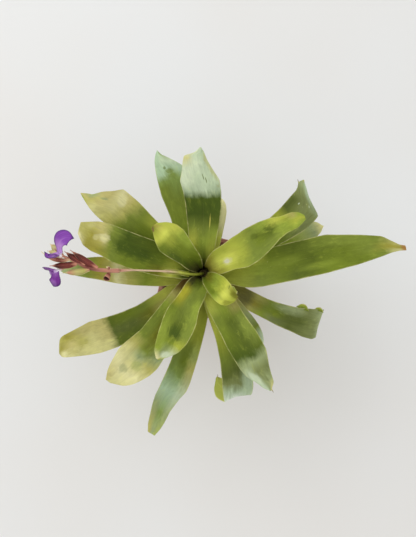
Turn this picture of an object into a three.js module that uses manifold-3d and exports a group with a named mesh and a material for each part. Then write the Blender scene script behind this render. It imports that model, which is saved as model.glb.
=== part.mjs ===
// Potted Tillandsia hamaleana: a rosette of twenty strap leaves round a water-holding crown,
// a leaning spike with two violet flowers, and a small square nursery pot of bark mix.
// Millimetres, +Z up. The origin is the centre of the pot's underside, and +X points along
// the longest leaf. Leaves and petals are solids of one even thickness.
import * as THREE from "three";
import { mergeVertices } from "three/addons/utils/BufferGeometryUtils.js";
import Module from "manifold-3d";

const wasm = await Module();
wasm.setup();

// Driving dimensions, mm and degrees.
const GAP = 0.3; // clearance between pieces that touch on the real plant
const POT_HALF = 40.6; // half the width over the rim
const POT_BASE_HALF = 30;
const POT_HEIGHT = 78;
const POT_WALL = 2;
const POT_TURN = -13; // how the square pot stands under the rosette
const POT_CORNER = 0.22; // rounding of its corners, share of half its width
const POT_EDGE = 0.8; // small bevel along its edges
const LIP_DEPTH = 9; // of the thickened band under the rim
const LIP_OUT = 2.4; // how far it stands out of the wall
const MIX_TOP = 70;
const MIX_SHOULDER = 3; // how far under its top the mix leaves the wall
const MIX_MIDDLE = 22; // half the width of its flat top
const STEM_FOOT = 50; // how deep the stem stands in the mix, as a height
const STEM_TOP = 96;
const STEM_RADIUS = 8; // in the mix
const INNER_RADIUS = 4.6; // of the innermost leaf base, the width of the tank
const LEVEL_STEP = 0.6; // each older leaf base lies this much further out
const LEVEL_DROP = 1.25; // and this much lower on the stem
const LEAF_THICK = 0.8;
const LEAST_HALF = 0.5; // half the width of a blade at its very tip
const SHEATH = 8; // upright part of a leaf base
const WRAP = 48; // half the angle that a leaf base wraps round the stem
const WRAP_OUT = 33; // and further out, where the blade is free
const WRAP_FROM = 10; // distances from the middle between which the one becomes the other
const WRAP_UNTIL = 30;
const FREE_FROM = 18; // between these a leaf goes from the tank's wall to its own section
const FREE_UNTIL = 45;
const SCAPE_RADIUS = 1.4;
const SCAPE_FOOT = 88; // height of its foot in the stem
const SPIKE_FROM = 0.64; // share of the scape's line where the bracts begin
const SPIKE_RADIUS = 2.2; // of the stalk at the first bract
const SPIKE_TIP_RADIUS = 0.9;
const SHEATH_BRACT = { from: 0.235, until: 0.425 }; // on the scape's line
const BRACT_THICK = 0.8;
const PETAL_THICK = 0.65;
const PETAL_CLAW = 3.2; // width of a petal where it leaves the throat
const THROAT_RADIUS = 1;

// Colours read off the plant.
const GREEN_LEAF = { color: 0x8a9a3c, roughness: 0.5, metalness: 0 };
const POT_CLAY = { color: 0xa8735c, roughness: 0.65, metalness: 0 };
const BARK_MIX = { color: 0x5a4426, roughness: 0.95, metalness: 0 };
const STEM_TAN = { color: 0x8d7c4c, roughness: 0.8, metalness: 0 };
const SCAPE_PINK = { color: 0xb07a66, roughness: 0.55, metalness: 0 };
const BRACT_GREEN = { color: 0xb0a64e, roughness: 0.5, metalness: 0 };
const BRACT_RED = { color: 0x6e3636, roughness: 0.5, metalness: 0 };
const BUD_BROWN = { color: 0x7b4a35, roughness: 0.7, metalness: 0 };
const PETAL_VIOLET = { color: 0x6a3a9c, roughness: 0.45, metalness: 0 };

const radians = THREE.MathUtils.degToRad;
const vector = ([x, y, z]) => new THREE.Vector3(x, y, z);
const ease = (from, to, x) => THREE.MathUtils.smoothstep(x, from, to);

// The leaves, youngest first. Angles are in degrees and lengths in mm; shares are of the length.
// heading: direction seen from above. rise: slope of the blade as it leaves the crown.
// arch: how far it bends down along its length. droop: how far its end bends down, from..until.
// sweep, hook: sideways turn along the whole leaf, and at its end, hookFrom..hookUntil.
// bend: length of the bend above the sheath. cup: hollow of the blade. wave: height of the ripples.
// margins: rows of a share and how far the left and the right margin lie from the midrib there.
// A negative distance is one across the midrib, where the end of the leaf is cut at a slant.
const LEAVES = [
  {
    heading: 312, length: 77, width: 25, rise: 64, arch: 12, droop: 80,
    margins: [
      [0.5, 8, 12], [0.66, 9, 13.4], [0.83, 8, 12.7], [0.92, 7.2, 10], [0.97, 7.2, 6],
      [1, 7.2, -1],
    ],
  },
  {
    heading: 137, length: 92.5, width: 27, rise: 58, arch: 16, droop: 75,
    sweep: -6,
    margins: [
      [0.5, 13.9, 8], [0.66, 17, 11.2], [0.77, 17.3, 13.1], [0.86, 13.8, 10.6], [0.94, 9.6, 5],
      [1, 7, -1],
    ],
  },
  {
    heading: 250, length: 122, width: 32, rise: 50, arch: 24, droop: 75,
    sweep: -8,
    margins: [
      [0.5, 10.3, 14.5], [0.62, 13.8, 15.9], [0.7, 14.6, 15.3], [0.79, 14, 13.4],
      [0.87, 10.5, 10.8], [0.93, 5.2, 8.6], [1, -2, 4.5],
    ],
  },
  {
    heading: 29, length: 129, width: 33, rise: 46, arch: 26, droop: 35,
    sweep: -5,
    margins: [
      [0.4, 12.2, 16.9], [0.49, 13.8, 18.9], [0.58, 14.4, 17.6], [0.69, 14, 13.4],
      [0.78, 12.4, 8.3], [0.84, 9.8, 6.4], [0.92, 8.9, 6], [0.97, 6.6, 3.6], [1, 2.2, 1.6],
    ],
  },
  {
    heading: 164.5, length: 140, width: 34, rise: 35, arch: 18, droop: 50,
    margins: [
      [0.6, 17, 14.6], [0.72, 16.2, 15.9], [0.8, 12.8, 16.7], [0.87, 11.2, 15.8],
      [0.93, 8, 13.5], [1, -1, 11.5],
    ],
  },
  {
    heading: 299, length: 147.5, width: 29, rise: 42, arch: 26, droop: 40,
    margins: [
      [0.52, 13.4, 14], [0.66, 15, 14.8], [0.77, 14.6, 14.3], [0.81, 12.5, 13.8],
      [0.86, 9.6, 11.8], [0.91, 7.7, 7.2], [0.96, 6.4, 4.2], [1, 0.8, 0.2],
    ],
  },
  {
    heading: 91, length: 134, width: 35, rise: 40, arch: 22, droop: 40,
    margins: [
      [0.4, 12.8, 15.7], [0.6, 14.7, 18.6], [0.69, 16.3, 18.6], [0.77, 19, 17.1],
      [0.83, 17, 11.6], [0.9, 15.8, 5.9], [0.94, 14.6, 4], [0.96, 5.6, 3.2], [1, 0.6, 0.6],
    ],
  },
  {
    heading: 236, length: 153, width: 36, rise: 34, arch: 24, droop: 55,
    sweep: -6,
    margins: [
      [0.62, 18, 14], [0.74, 19.8, 17.4], [0.79, 18.6, 18.2], [0.84, 15.6, 16.7],
      [0.89, 11.4, 15.2], [0.94, 5.8, 13.3], [1, -5, 10],
    ],
  },
  {
    heading: 5.5, length: 201, width: 36, rise: 28, arch: 22, droop: 20,
    margins: [
      [0.34, 14, 20.6], [0.52, 17.8, 17.1], [0.65, 20.4, 13.7], [0.76, 18.1, 10],
      [0.89, 14, 3.8], [0.93, 9.6, 1.4], [0.97, 5.4, 0.3], [1, 4, 0.5],
    ],
  },
  {
    heading: 145, length: 152, width: 34, rise: 32, arch: 20, droop: 50,
    margins: [
      [0.5, 16, 13.2], [0.66, 17, 17.6], [0.78, 16.2, 18.9], [0.82, 15.2, 12], [0.87, 13.2, 6],
      [0.91, 11.2, -1.2], [1, 6.5, -5.6],
    ],
  },
  {
    heading: 297, length: 165.5, width: 27, rise: 30, arch: 22, droop: 165,
    from: 0.775, until: 0.86, sweep: -30, hook: 60, hookFrom: 0.79, hookUntil: 0.9,
    margins: [
      [0.5, 13, 14.2], [0.76, 13.3, 14.6], [0.79, 12.2, 14.2], [0.81, 10.3, 13.6],
      [0.86, 8, 13.8], [0.92, 6, 15.4], [0.945, 4, 14.8], [0.975, 2, 10.4], [1, 0.6, 0.6],
    ],
  },
  {
    heading: 29.5, length: 143, width: 30, rise: 28, arch: 20, droop: 30,
    sweep: 18,
    margins: [
      [0.3, 12, 13], [0.6, 6, 19], [0.75, 6.2, 24.4], [0.84, 6.8, 24.6], [0.878, 7, 24],
      [0.902, 7.1, 14.3], [0.93, 8.2, 5.2], [0.966, 10.9, -1.8], [1, 8.9, -8],
    ],
  },
  {
    heading: 178.5, length: 150, width: 28, rise: 22, arch: 20, droop: 40,
    margins: [
      [0.5, 15, 12], [0.6, 13.4, 11], [0.72, 10.2, 11.3], [0.83, 7.7, 9], [0.93, 5, 5],
      [1, 0.6, 0.6],
    ],
  },
  {
    heading: 309, length: 100, width: 21, rise: 22, arch: 20, droop: 40,
  },
  {
    heading: 106, length: 136, width: 34, rise: 26, arch: 20, droop: 40,
    margins: [
      [0.5, 15.4, 16], [0.65, 17.9, 16.5], [0.78, 17.4, 14], [0.83, 16.8, 8.4],
      [0.9, 15.1, -0.8], [0.95, 13, -6.6], [1, 10, -9.4],
    ],
  },
  {
    heading: 260.5, length: 167, width: 24, rise: 22, arch: 20, droop: 25,
    sweep: -18,
    margins: [
      [0.5, 12.5, 10], [0.66, 13.8, 10.9], [0.71, 13.3, 11.1], [0.75, 10.7, 11.3],
      [0.79, 9.1, 11.6], [0.84, 7.3, 10.2], [0.9, 7.3, 7.8], [0.95, 6.6, 6], [1, 4.6, 2.6],
    ],
  },
  {
    heading: 21.5, length: 135, width: 24, rise: 18, arch: 18, droop: 40,
  },
  {
    heading: 219, length: 171, width: 29, rise: 18, arch: 18, droop: 70,
    from: 0.84, sweep: -23,
    margins: [
      [0.45, 14, 12], [0.6, 15, 15], [0.73, 13.6, 17.8], [0.82, 10.4, 15.3], [0.9, 7.5, 13.2],
      [0.925, 6.5, 11.4], [1, 3.4, -1.5],
    ],
  },
  {
    heading: 329, length: 132, width: 24, rise: 16, arch: 18, droop: 60,
    from: 0.84, sweep: 12,
    margins: [
      [0.4, 8.6, 9.4], [0.54, 8.2, 10], [0.69, 10.2, 11.6], [0.78, 12, 11.8], [0.87, 15.4, 13],
      [0.94, 17.6, 12.2], [1, 19.6, 8.8],
    ],
  },
  {
    heading: 78, length: 84, width: 22, rise: 20, arch: 18, droop: 50,
  },
];

// The usual values, for a leaf that names none of its own.
const LEAF_USUAL = {
  from: 0.78,
  until: 1,
  sweep: 0,
  hook: 0,
  hookFrom: 0.7,
  hookUntil: 0.9,
  bend: 26,
  cup: 0.35,
  wave: 0.5,
};

// Shares of the length and of the half width, for a leaf with a plain round end.
const ROUND_END = [
  [0.7, 1],
  [0.8, 0.94],
  [0.88, 0.75],
  [0.95, 0.42],
  [1, 0],
];

// Blades: the shared form of leaves, bracts and petals.

// Stands the stations of a rib along its length: closer together near both ends.
function stationShare(index, count) {
  const x = index / count;
  return x - (0.5 * Math.sin(2 * Math.PI * x)) / (2 * Math.PI);
}

// Follows a rib from start. rise, heading and roll give the direction in degrees at arc length s.
function makeRib({ start, length, count, rise, heading, roll }) {
  const frameAt = (s) => {
    const e = radians(rise(s));
    const h = radians(heading(s));
    const r = radians(roll(s));
    const along = new THREE.Vector3(Math.cos(e) * Math.cos(h), Math.cos(e) * Math.sin(h), Math.sin(e));
    const level = new THREE.Vector3(-Math.sin(h), Math.cos(h), 0);
    const face = new THREE.Vector3(-Math.sin(e) * Math.cos(h), -Math.sin(e) * Math.sin(h), Math.cos(e));
    const side = level.clone().multiplyScalar(Math.cos(r)).addScaledVector(face, Math.sin(r));
    const up = face.clone().multiplyScalar(Math.cos(r)).addScaledVector(level, -Math.sin(r));
    return { along, side, up };
  };
  const steps = 8;
  const stations = [];
  const point = start.clone();
  let s = 0;
  for (let i = 0; i <= count; i++) {
    const t = stationShare(i, count);
    const hop = (t * length - s) / steps;
    for (let k = 0; k < steps; k++) {
      point.addScaledVector(frameAt(s + hop / 2).along, hop);
      s += hop;
    }
    stations.push({ t, s: t * length, point: point.clone(), ...frameAt(t * length) });
  }
  return stations;
}

// Spans a blade over a rib as a closed solid. halfWidth, bow (1/mm, how the section is hollowed),
// shift (sideways) and ripple (up, at v from -1 to 1) are functions of the station.
function spanBlade(stations, { halfWidth, bow, shift, ripple, thick, across }) {
  const rows = stations.length;
  const columns = across + 1;
  const position = [];
  for (const lift of [thick / 2, -thick / 2])
    for (const station of stations) {
      const half = halfWidth(station);
      const bend = bow(station) || 1e-6;
      for (let j = 0; j < columns; j++) {
        const v = (2 * j) / across - 1;
        const a = v * half * bend;
        const x = Math.sin(a) / bend + shift(station) - lift * Math.sin(a);
        const y = (1 - Math.cos(a)) / bend + ripple(station, v) + lift * Math.cos(a);
        const p = station.point.clone().addScaledVector(station.side, x).addScaledVector(station.up, y);
        position.push(p.x, p.y, p.z);
      }
    }
  const under = rows * columns;
  const index = [];
  const quad = (a, b, c, d) => index.push(a, b, c, a, c, d);
  for (let i = 0; i + 1 < rows; i++)
    for (let j = 0; j + 1 < columns; j++) {
      const k = i * columns + j;
      quad(k, k + columns, k + columns + 1, k + 1);
      index.push(under + k, under + k + columns + 1, under + k + columns);
      index.push(under + k, under + k + 1, under + k + columns + 1);
    }
  for (let i = 0; i + 1 < rows; i++) {
    const left = i * columns;
    const right = left + across;
    quad(left, under + left, under + left + columns, left + columns);
    quad(right, right + columns, under + right + columns, under + right);
  }
  for (let j = 0; j + 1 < columns; j++) {
    const foot = j;
    const tip = (rows - 1) * columns + j;
    quad(foot, foot + 1, under + foot + 1, under + foot);
    quad(tip, under + tip, under + tip + 1, tip + 1);
  }
  const geometry = new THREE.BufferGeometry();
  geometry.setAttribute("position", new THREE.Float32BufferAttribute(position, 3));
  geometry.setIndex(index);
  return facingOut(geometry);
}

// Turns a closed body's faces outwards.
function facingOut(geometry) {
  const p = geometry.getAttribute("position");
  const index = geometry.index.array;
  const [a, b, c] = [0, 1, 2].map(() => new THREE.Vector3());
  let volume = 0;
  for (let i = 0; i < index.length; i += 3) {
    a.fromBufferAttribute(p, index[i]);
    b.fromBufferAttribute(p, index[i + 1]);
    c.fromBufferAttribute(p, index[i + 2]);
    volume += a.dot(b.cross(c));
  }
  if (volume < 0)
    for (let i = 0; i < index.length; i += 3) [index[i + 1], index[i + 2]] = [index[i + 2], index[i + 1]];
  return geometry;
}

// The smaller of two sizes, with a soft change from one to the other.
const softMin = (a, b) => (a * b) / (a ** 4 + b ** 4) ** 0.25;

// Leaves

const LEAF_STATIONS = 16; // stations along a leaf
const LEAF_ACROSS = 6; // strips across it
const WAVE_EVERY = 7; // mm along the margin for each radian of its ripple

// Reads rows of a share and its values at share t, straight between the rows.
function between(rows, t, column) {
  const next = rows.findIndex(([share]) => share > t);
  if (next <= 0) return rows.at(next)[column];
  const [before, after] = [rows[next - 1], rows[next]];
  const step = (t - before[0]) / (after[0] - before[0]);
  return before[column] + (after[column] - before[column]) * step;
}

// Margins that run parallel and close in a blunt round end.
function roundedMargins(width) {
  return ROUND_END.map(([t, share]) => [t, (width / 2) * share, (width / 2) * share]);
}

function makeLeaf(own, level) {
  const leaf = { ...LEAF_USUAL, ...own };
  const baseRadius = INNER_RADIUS + level * LEVEL_STEP;
  const out = new THREE.Vector3(Math.cos(radians(leaf.heading)), Math.sin(radians(leaf.heading)), 0);
  const start = out.clone().multiplyScalar(baseRadius).setZ(STEM_TOP - level * LEVEL_DROP);
  const { length } = leaf;
  const bendEnd = SHEATH + leaf.bend;
  const rib = makeRib({
    start,
    length,
    count: LEAF_STATIONS,
    rise: (s) =>
      90 -
      (90 - leaf.rise) * ease(SHEATH, bendEnd, s) -
      leaf.arch * ease(SHEATH + leaf.bend / 2, leaf.from * length, s) -
      leaf.droop * ease(leaf.from * length, leaf.until * length, s),
    heading: (s) =>
      leaf.heading +
      leaf.sweep * ease(0.1 * length, length, s) +
      leaf.hook * ease(leaf.hookFrom * length, leaf.hookUntil * length, s),
    roll: () => 0,
  });
  const reach = ({ point }) => Math.max(baseRadius, Math.hypot(point.x, point.y));
  const free = (station) => ease(FREE_FROM, FREE_UNTIL, reach(station));
  const margins = leaf.margins ?? roundedMargins(leaf.width);
  const left = ({ t }) => between(margins, t, 1);
  const right = ({ t }) => between(margins, t, 2);
  const halfWidth = (station) => {
    const wrap = radians(WRAP + (WRAP_OUT - WRAP) * ease(WRAP_FROM, WRAP_UNTIL, reach(station)));
    const half = Math.max(LEAST_HALF, (left(station) + right(station)) / 2);
    return Math.max(LEAST_HALF, softMin(half, reach(station) * wrap));
  };
  // Round the stem the section follows the tank's wall; further out it keeps the blade's own cup.
  const bow = (station) => {
    const cone = Math.max(0, station.along.z) / reach(station);
    const blade = (leaf.cup / (leaf.width / 2)) * (1 - 0.7 * ease(0.6, 1, station.t));
    const share = free(station);
    return cone * (1 - share) + blade * share;
  };
  const shift = (station) => ((left(station) - right(station)) / 2) * free(station);
  const ripple = ({ s, t }, v) =>
    leaf.wave * v * Math.abs(v) * Math.sin(s / WAVE_EVERY + level) * ease(0.35, 0.6, t);
  return spanBlade(rib, { halfWidth, bow, shift, ripple, thick: LEAF_THICK, across: LEAF_ACROSS });
}

// Pot, mix and stem

// One ring of a rounded square at height z.
function squareRing(half, z) {
  const corner = half * POT_CORNER;
  const points = [];
  const steps = 4;
  for (let quarter = 0; quarter < 4; quarter++) {
    const middle = radians(45 + 90 * quarter);
    const x = Math.SQRT2 * Math.cos(middle) * (half - corner);
    const y = Math.SQRT2 * Math.sin(middle) * (half - corner);
    for (let i = 0; i <= steps; i++) {
      const a = radians(90 * (quarter + i / steps));
      points.push(new THREE.Vector3(x + corner * Math.cos(a), y + corner * Math.sin(a), z));
    }
  }
  return points;
}

// One round ring about a station of a rib.
function roundRing({ point, side, up }, radius, sides) {
  const ring = [];
  for (let k = 0; k < sides; k++) {
    const a = (2 * Math.PI * k) / sides;
    const x = radius * Math.cos(a);
    const y = radius * Math.sin(a);
    ring.push(point.clone().addScaledVector(side, x).addScaledVector(up, y));
  }
  return ring;
}

// Joins rings of equal counts into a closed body, with a fan over the first and the last.
function loftRings(rings) {
  const count = rings[0].length;
  const points = rings.flat();
  const middleOf = (ring) =>
    ring.reduce((sum, p) => sum.add(p), new THREE.Vector3()).divideScalar(ring.length);
  points.push(middleOf(rings[0]), middleOf(rings.at(-1)));
  const index = [];
  for (let r = 0; r + 1 < rings.length; r++)
    for (let i = 0; i < count; i++) {
      const a = r * count + i;
      const b = r * count + ((i + 1) % count);
      index.push(a, b, b + count, a, b + count, a + count);
    }
  const last = (rings.length - 1) * count;
  for (let i = 0; i < count; i++) {
    const next = (i + 1) % count;
    index.push(next, i, points.length - 2);
    index.push(last + i, last + next, points.length - 1);
  }
  const geometry = new THREE.BufferGeometry().setFromPoints(points);
  geometry.setIndex(index);
  return facingOut(geometry);
}

// Manifold solids, for the few joins and cuts.
function toSolid(geometry) {
  const bare = geometry.clone();
  bare.deleteAttribute("normal");
  bare.deleteAttribute("uv");
  const welded = mergeVertices(bare, 1e-4);
  return new wasm.Manifold(
    new wasm.Mesh({
      numProp: 3,
      vertProperties: new Float32Array(welded.getAttribute("position").array),
      triVerts: new Uint32Array(welded.index.array),
    }),
  );
}

function toGeometry(solid) {
  const mesh = solid.getMesh();
  const geometry = new THREE.BufferGeometry();
  geometry.setAttribute("position", new THREE.BufferAttribute(new Float32Array(mesh.vertProperties), 3));
  geometry.setIndex(new THREE.BufferAttribute(new Uint32Array(mesh.triVerts), 1));
  return geometry;
}

function uprightCylinder(radius, bottom, top, x = 0, y = 0) {
  const geometry = new THREE.CylinderGeometry(radius, radius, top - bottom, 20);
  geometry.rotateX(Math.PI / 2);
  geometry.translate(x, y, (top + bottom) / 2);
  return geometry;
}

// Half the pot's inside width at height z.
const potInside = (z) =>
  POT_BASE_HALF + ((POT_HALF - LIP_OUT - POT_BASE_HALF) * z) / POT_HEIGHT - POT_WALL;

// Drainage holes, four of each: radius, distance from the middle, and how the four are turned.
const POT_HOLES = [
  { radius: 3.5, out: 29.5, turn: 45 },
  { radius: 2.5, out: 22, turn: 0 },
];

function makePot() {
  const outside = (z) => potInside(z) + POT_WALL;
  const lipBottom = POT_HEIGHT - LIP_DEPTH;
  const body = loftRings([
    squareRing(POT_BASE_HALF - POT_EDGE, 0),
    squareRing(POT_BASE_HALF, POT_EDGE),
    squareRing(outside(lipBottom), lipBottom - POT_EDGE),
    squareRing(POT_HALF - POT_EDGE, lipBottom),
    squareRing(POT_HALF, POT_HEIGHT - POT_EDGE),
    squareRing(POT_HALF - POT_EDGE, POT_HEIGHT),
    squareRing(potInside(POT_HEIGHT) + POT_EDGE, POT_HEIGHT),
    squareRing(potInside(POT_HEIGHT), POT_HEIGHT - POT_EDGE),
    squareRing(potInside(POT_WALL), POT_WALL + POT_EDGE),
    squareRing(potInside(POT_WALL) - POT_EDGE, POT_WALL),
  ]);
  let pot = toSolid(body);
  for (const { radius, out, turn } of POT_HOLES)
    for (let i = 0; i < 4; i++) {
      const a = radians(turn + 90 * i);
      const hole = uprightCylinder(radius, -1, POT_WALL + 1, out * Math.cos(a), out * Math.sin(a));
      pot = pot.subtract(toSolid(hole));
    }
  return toGeometry(pot).rotateZ(radians(POT_TURN));
}

// Seeded random numbers from 0 to 1.
function makeRandom(seed) {
  let state = seed;
  return () => {
    state = (state * 1664525 + 1013904223) % 4294967296;
    return state / 4294967296;
  };
}

// Bark chips on the mix: rows each way, least length, and how much longer the largest is.
const CHIPS = { rows: 7, least: 7, more: 5, wide: 0.62, thick: 0.34, tilt: 35 };

// One bark chip: a flattened, uneven lump about as long as size.
function barkChip(random, size) {
  const geometry = new THREE.IcosahedronGeometry(size / 2, 0);
  geometry.deleteAttribute("normal");
  geometry.deleteAttribute("uv");
  const chip = mergeVertices(geometry);
  const p = chip.getAttribute("position");
  for (let i = 0; i < p.count; i++) {
    const grow = 0.8 + 0.4 * random();
    p.setXYZ(i, p.getX(i) * grow, p.getY(i) * grow * CHIPS.wide, p.getZ(i) * grow * CHIPS.thick);
  }
  const tilt = () => radians(CHIPS.tilt * (2 * random() - 1));
  chip.rotateX(tilt());
  chip.rotateY(tilt());
  chip.rotateZ(radians(360 * random()));
  return chip;
}

function makePottingMix() {
  const foot = POT_WALL + GAP;
  const shoulder = MIX_TOP - MIX_SHOULDER;
  const body = loftRings([
    squareRing(potInside(foot) - POT_EDGE - 2 * GAP, foot),
    squareRing(potInside(foot + 2) - GAP, foot + 2),
    squareRing(potInside(shoulder) - GAP, shoulder),
    squareRing(potInside(shoulder) - MIX_SHOULDER / 2, MIX_TOP - MIX_SHOULDER / 5),
    squareRing(MIX_MIDDLE, MIX_TOP),
  ]);
  let mix = toSolid(body);
  const random = makeRandom(7);
  const reach = potInside(MIX_TOP) - 5;
  const place = (i) => ((i + 0.5) / CHIPS.rows - 0.5 + (random() - 0.5) * 0.09) * 2 * reach;
  for (let i = 0; i < CHIPS.rows; i++)
    for (let j = 0; j < CHIPS.rows; j++) {
      const x = place(i);
      const y = place(j);
      const chip = barkChip(random, CHIPS.least + CHIPS.more * random());
      const lift = MIX_TOP - 0.4 + 0.9 * random();
      if (Math.hypot(x, y) < STEM_RADIUS + CHIPS.least + CHIPS.more) continue;
      mix = mix.add(toSolid(chip.translate(x, y, lift)));
    }
  mix = mix.subtract(toSolid(uprightCylinder(STEM_RADIUS + 1.4 * GAP, STEM_FOOT, MIX_TOP + 10)));
  return toGeometry(mix).rotateZ(radians(POT_TURN));
}

// The short stem: it widens above the mix and narrows like a cone under the leaf bases.
function makeStem() {
  const lean = LEVEL_STEP / LEVEL_DROP;
  const underLeaf = (z) => INNER_RADIUS - 0.12 + lean * (STEM_TOP - z) - LEAF_THICK / 2 - GAP;
  const coneFoot = STEM_TOP - LEVEL_DROP * (LEAVES.length - 1);
  const socketFoot = SCAPE_FOOT - GAP;
  const socketRadius = SCAPE_RADIUS + 1.4 * GAP;
  const foot = STEM_FOOT + GAP;
  const profile = [
    [0, foot],
    [STEM_RADIUS - 2, foot],
    [STEM_RADIUS, foot + 4],
    [STEM_RADIUS, MIX_TOP + 0.6],
    [underLeaf(coneFoot) - 3, coneFoot - 0.8],
    [underLeaf(coneFoot), coneFoot],
    [underLeaf(STEM_TOP), STEM_TOP],
    [socketRadius, STEM_TOP + 0.4],
    [socketRadius, socketFoot],
    [0, socketFoot],
  ];
  const points = profile.map(([r, z]) => new THREE.Vector2(r, z));
  const geometry = new THREE.LatheGeometry(points, 28);
  geometry.rotateX(Math.PI / 2);
  return closeSeam(geometry);
}

// Welds a lathed or tubed body, whose seam and poles hold doubled points.
function closeSeam(geometry) {
  geometry.deleteAttribute("normal");
  geometry.deleteAttribute("uv");
  const welded = mergeVertices(geometry, 1e-4);
  const kept = [];
  const index = welded.index.array;
  for (let i = 0; i < index.length; i += 3) {
    const [a, b, c] = [index[i], index[i + 1], index[i + 2]];
    if (a !== b && b !== c && a !== c) kept.push(a, b, c);
  }
  welded.setIndex(kept);
  return facingOut(welded);
}

// Flower spike

// The line of the scape and its flowering end: up out of the tank, then leaning over the leaves.
const SCAPE_LINE = new THREE.CatmullRomCurve3(
  [
    [0, 0, SCAPE_FOOT],
    [0, 0, 98],
    [-1.6, -1, 108],
    [-6.5, -2.4, 117.5],
    [-14, -2.4, 125],
    [-24, -1.2, 132],
    [-48, -1, 144],
    [-65, -1, 149],
    [-79, -1.8, 153],
    [-95, -0.7, 157],
    [-103, 1.8, 159.5],
    [-110, 5.5, 162],
    [-119, 9.5, 165.5],
    [-127, 12, 168],
  ].map(vector),
  false,
  "centripetal",
);

// The bracts of the flowering end and the buds inside them, from its foot to its tip. at is the
// share of the scape's line where one starts, beside how far to its side, mm.
const BRACTS = [
  { at: 0.69, beside: -1, heading: 150, rise: 24, length: 9, width: 4, bud: 0 },
  { at: 0.76, beside: -1.2, heading: 150, rise: 18, length: 28.5, width: 8.4, bud: 1, sweep: -8 },
  { at: 0.8, beside: 1.2, heading: 194, rise: 10, length: 23, width: 7.6, bud: 1, sweep: -10 },
  { at: 0.83, beside: -1.2, heading: 150, rise: 18, length: 21, width: 8.6, bud: 1, sweep: -8 },
  { at: 0.87, beside: 1.2, heading: 190, rise: 10, length: 23, width: 7.8, bud: 1, sweep: -8 },
  { at: 0.91, beside: 0.6, heading: 188, rise: 10, length: 26, width: 5, bud: 0, sweep: -46 },
  { at: 0.95, beside: -0.4, heading: 164, rise: 10, length: 14, width: 7, bud: 1 },
];

// The flowers: three petals each on a short throat.
const FLOWERS = [
  {
    name: "flower_1",
    throat: { start: [-119.4, 7.7, 170.6], heading: 110, rise: 30, length: 5 },
    petals: [
      { heading: 68, rise: 10, length: 22, width: 15, droop: 20, roll: 0 },
      { heading: 213, rise: 2, length: 16, width: 9, droop: 10, roll: 62, sweep: -95 },
      { heading: 192, rise: 34, length: 10, width: 6, droop: 30, roll: 70 },
    ],
  },
  {
    name: "flower_2",
    throat: { start: [-120, -1, 162.6], heading: 197, rise: 4, length: 8 },
    petals: [
      { heading: 170, rise: 10, length: 11.5, width: 9, droop: 20, roll: 72, sweep: -12 },
      { heading: 258, rise: 0, length: 15, width: 11, droop: 50, roll: 0 },
      { heading: 200, rise: -50, length: 15, width: 9, droop: 30, roll: 0 },
    ],
  },
];

// Point, direction, side and facing at share u of the scape's line.
function scapeStation(u) {
  const point = SCAPE_LINE.getPointAt(u);
  const along = SCAPE_LINE.getTangentAt(u);
  const side = new THREE.Vector3(0, -1, 0).addScaledVector(along, along.y).normalize();
  const up = side.clone().cross(along).negate();
  return { t: u, s: 0, point, along, side, up };
}

// A round stalk along the scape's line, with its radius given for each share of its own length.
function stalk(fromShare, toShare, radius, count) {
  const rings = [];
  for (let i = 0; i <= count; i++) {
    const station = scapeStation(fromShare + ((toShare - fromShare) * i) / count);
    rings.push(roundRing(station, radius(i / count), 8));
  }
  return loftRings(rings);
}

const makeScape = () => stalk(0, SPIKE_FROM, () => SCAPE_RADIUS, 22);

// The green sheath round the foot of the scape: a half tube that opens upwards.
function makeScapeBract() {
  const stations = [];
  const count = 12;
  for (let i = 0; i <= count; i++) {
    const t = stationShare(i, count);
    const { from, until } = SHEATH_BRACT;
    stations.push({ ...scapeStation(from + (until - from) * t), t });
  }
  const radius = SCAPE_RADIUS + GAP + 0.15 + BRACT_THICK / 2;
  return spanBlade(stations, {
    halfWidth: ({ t }) => Math.max(0.5, 1.35 * radius * (1 - ease(0.55, 1, t) ** 2)),
    bow: () => 1 / radius,
    shift: () => 0,
    ripple: () => -radius,
    thick: BRACT_THICK,
    across: 6,
  });
}

// A plump closed bud between two shares of a rib, with its flatter side on the bract.
function makeBud(stations, size, from, to) {
  const inner = stations.filter(({ t }) => t > from && t < to);
  const rings = inner.map((station) => {
    const swell = Math.sin((Math.PI * (station.t - from)) / (to - from)) ** 0.6;
    const radius = Math.max(0.4, size * swell);
    const up = station.up.clone().multiplyScalar(0.7);
    const point = station.point.clone().addScaledVector(up, 0.9 * radius);
    return roundRing({ point, side: station.side, up }, radius, 6);
  });
  return loftRings(rings);
}

// One keeled bract, its back upwards, with the bud that it holds.
function makeBract({ at, beside, heading, rise, length, width, bud, sweep = 0 }) {
  const foot = scapeStation(at);
  const rib = makeRib({
    start: foot.point.clone().addScaledVector(foot.side, beside).addScaledVector(foot.up, 1),
    length,
    count: 8,
    rise: (s) => rise + 10 * ease(0, 0.3 * length, s) - 16 * ease(0.3 * length, length, s),
    heading: (s) => heading + sweep * ease(0, length, s),
    roll: () => 180,
  });
  const halfWidth = ({ t }) => {
    const opened = 0.45 + 0.55 * ease(0, 0.35, t);
    const closed = 1 - ease(0.4, 1, t) ** 1.5;
    return Math.max(LEAST_HALF, (width / 2) * opened * closed);
  };
  const shell = spanBlade(rib, {
    halfWidth,
    bow: () => 2.3 / width,
    shift: () => 0,
    ripple: () => 0,
    thick: BRACT_THICK,
    across: 4,
  });
  let solid = toSolid(shell);
  if (bud) solid = solid.add(toSolid(makeBud(rib, width * 0.27, 0.04, 0.9)));
  return solid;
}

function makeSpike() {
  const radius = (t) => SPIKE_RADIUS + (SPIKE_TIP_RADIUS - SPIKE_RADIUS) * t;
  let spike = toSolid(stalk(SPIKE_FROM + 0.004, 1, radius, 8));
  for (const bract of BRACTS) spike = spike.add(makeBract(bract));
  return toGeometry(spike);
}

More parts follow.
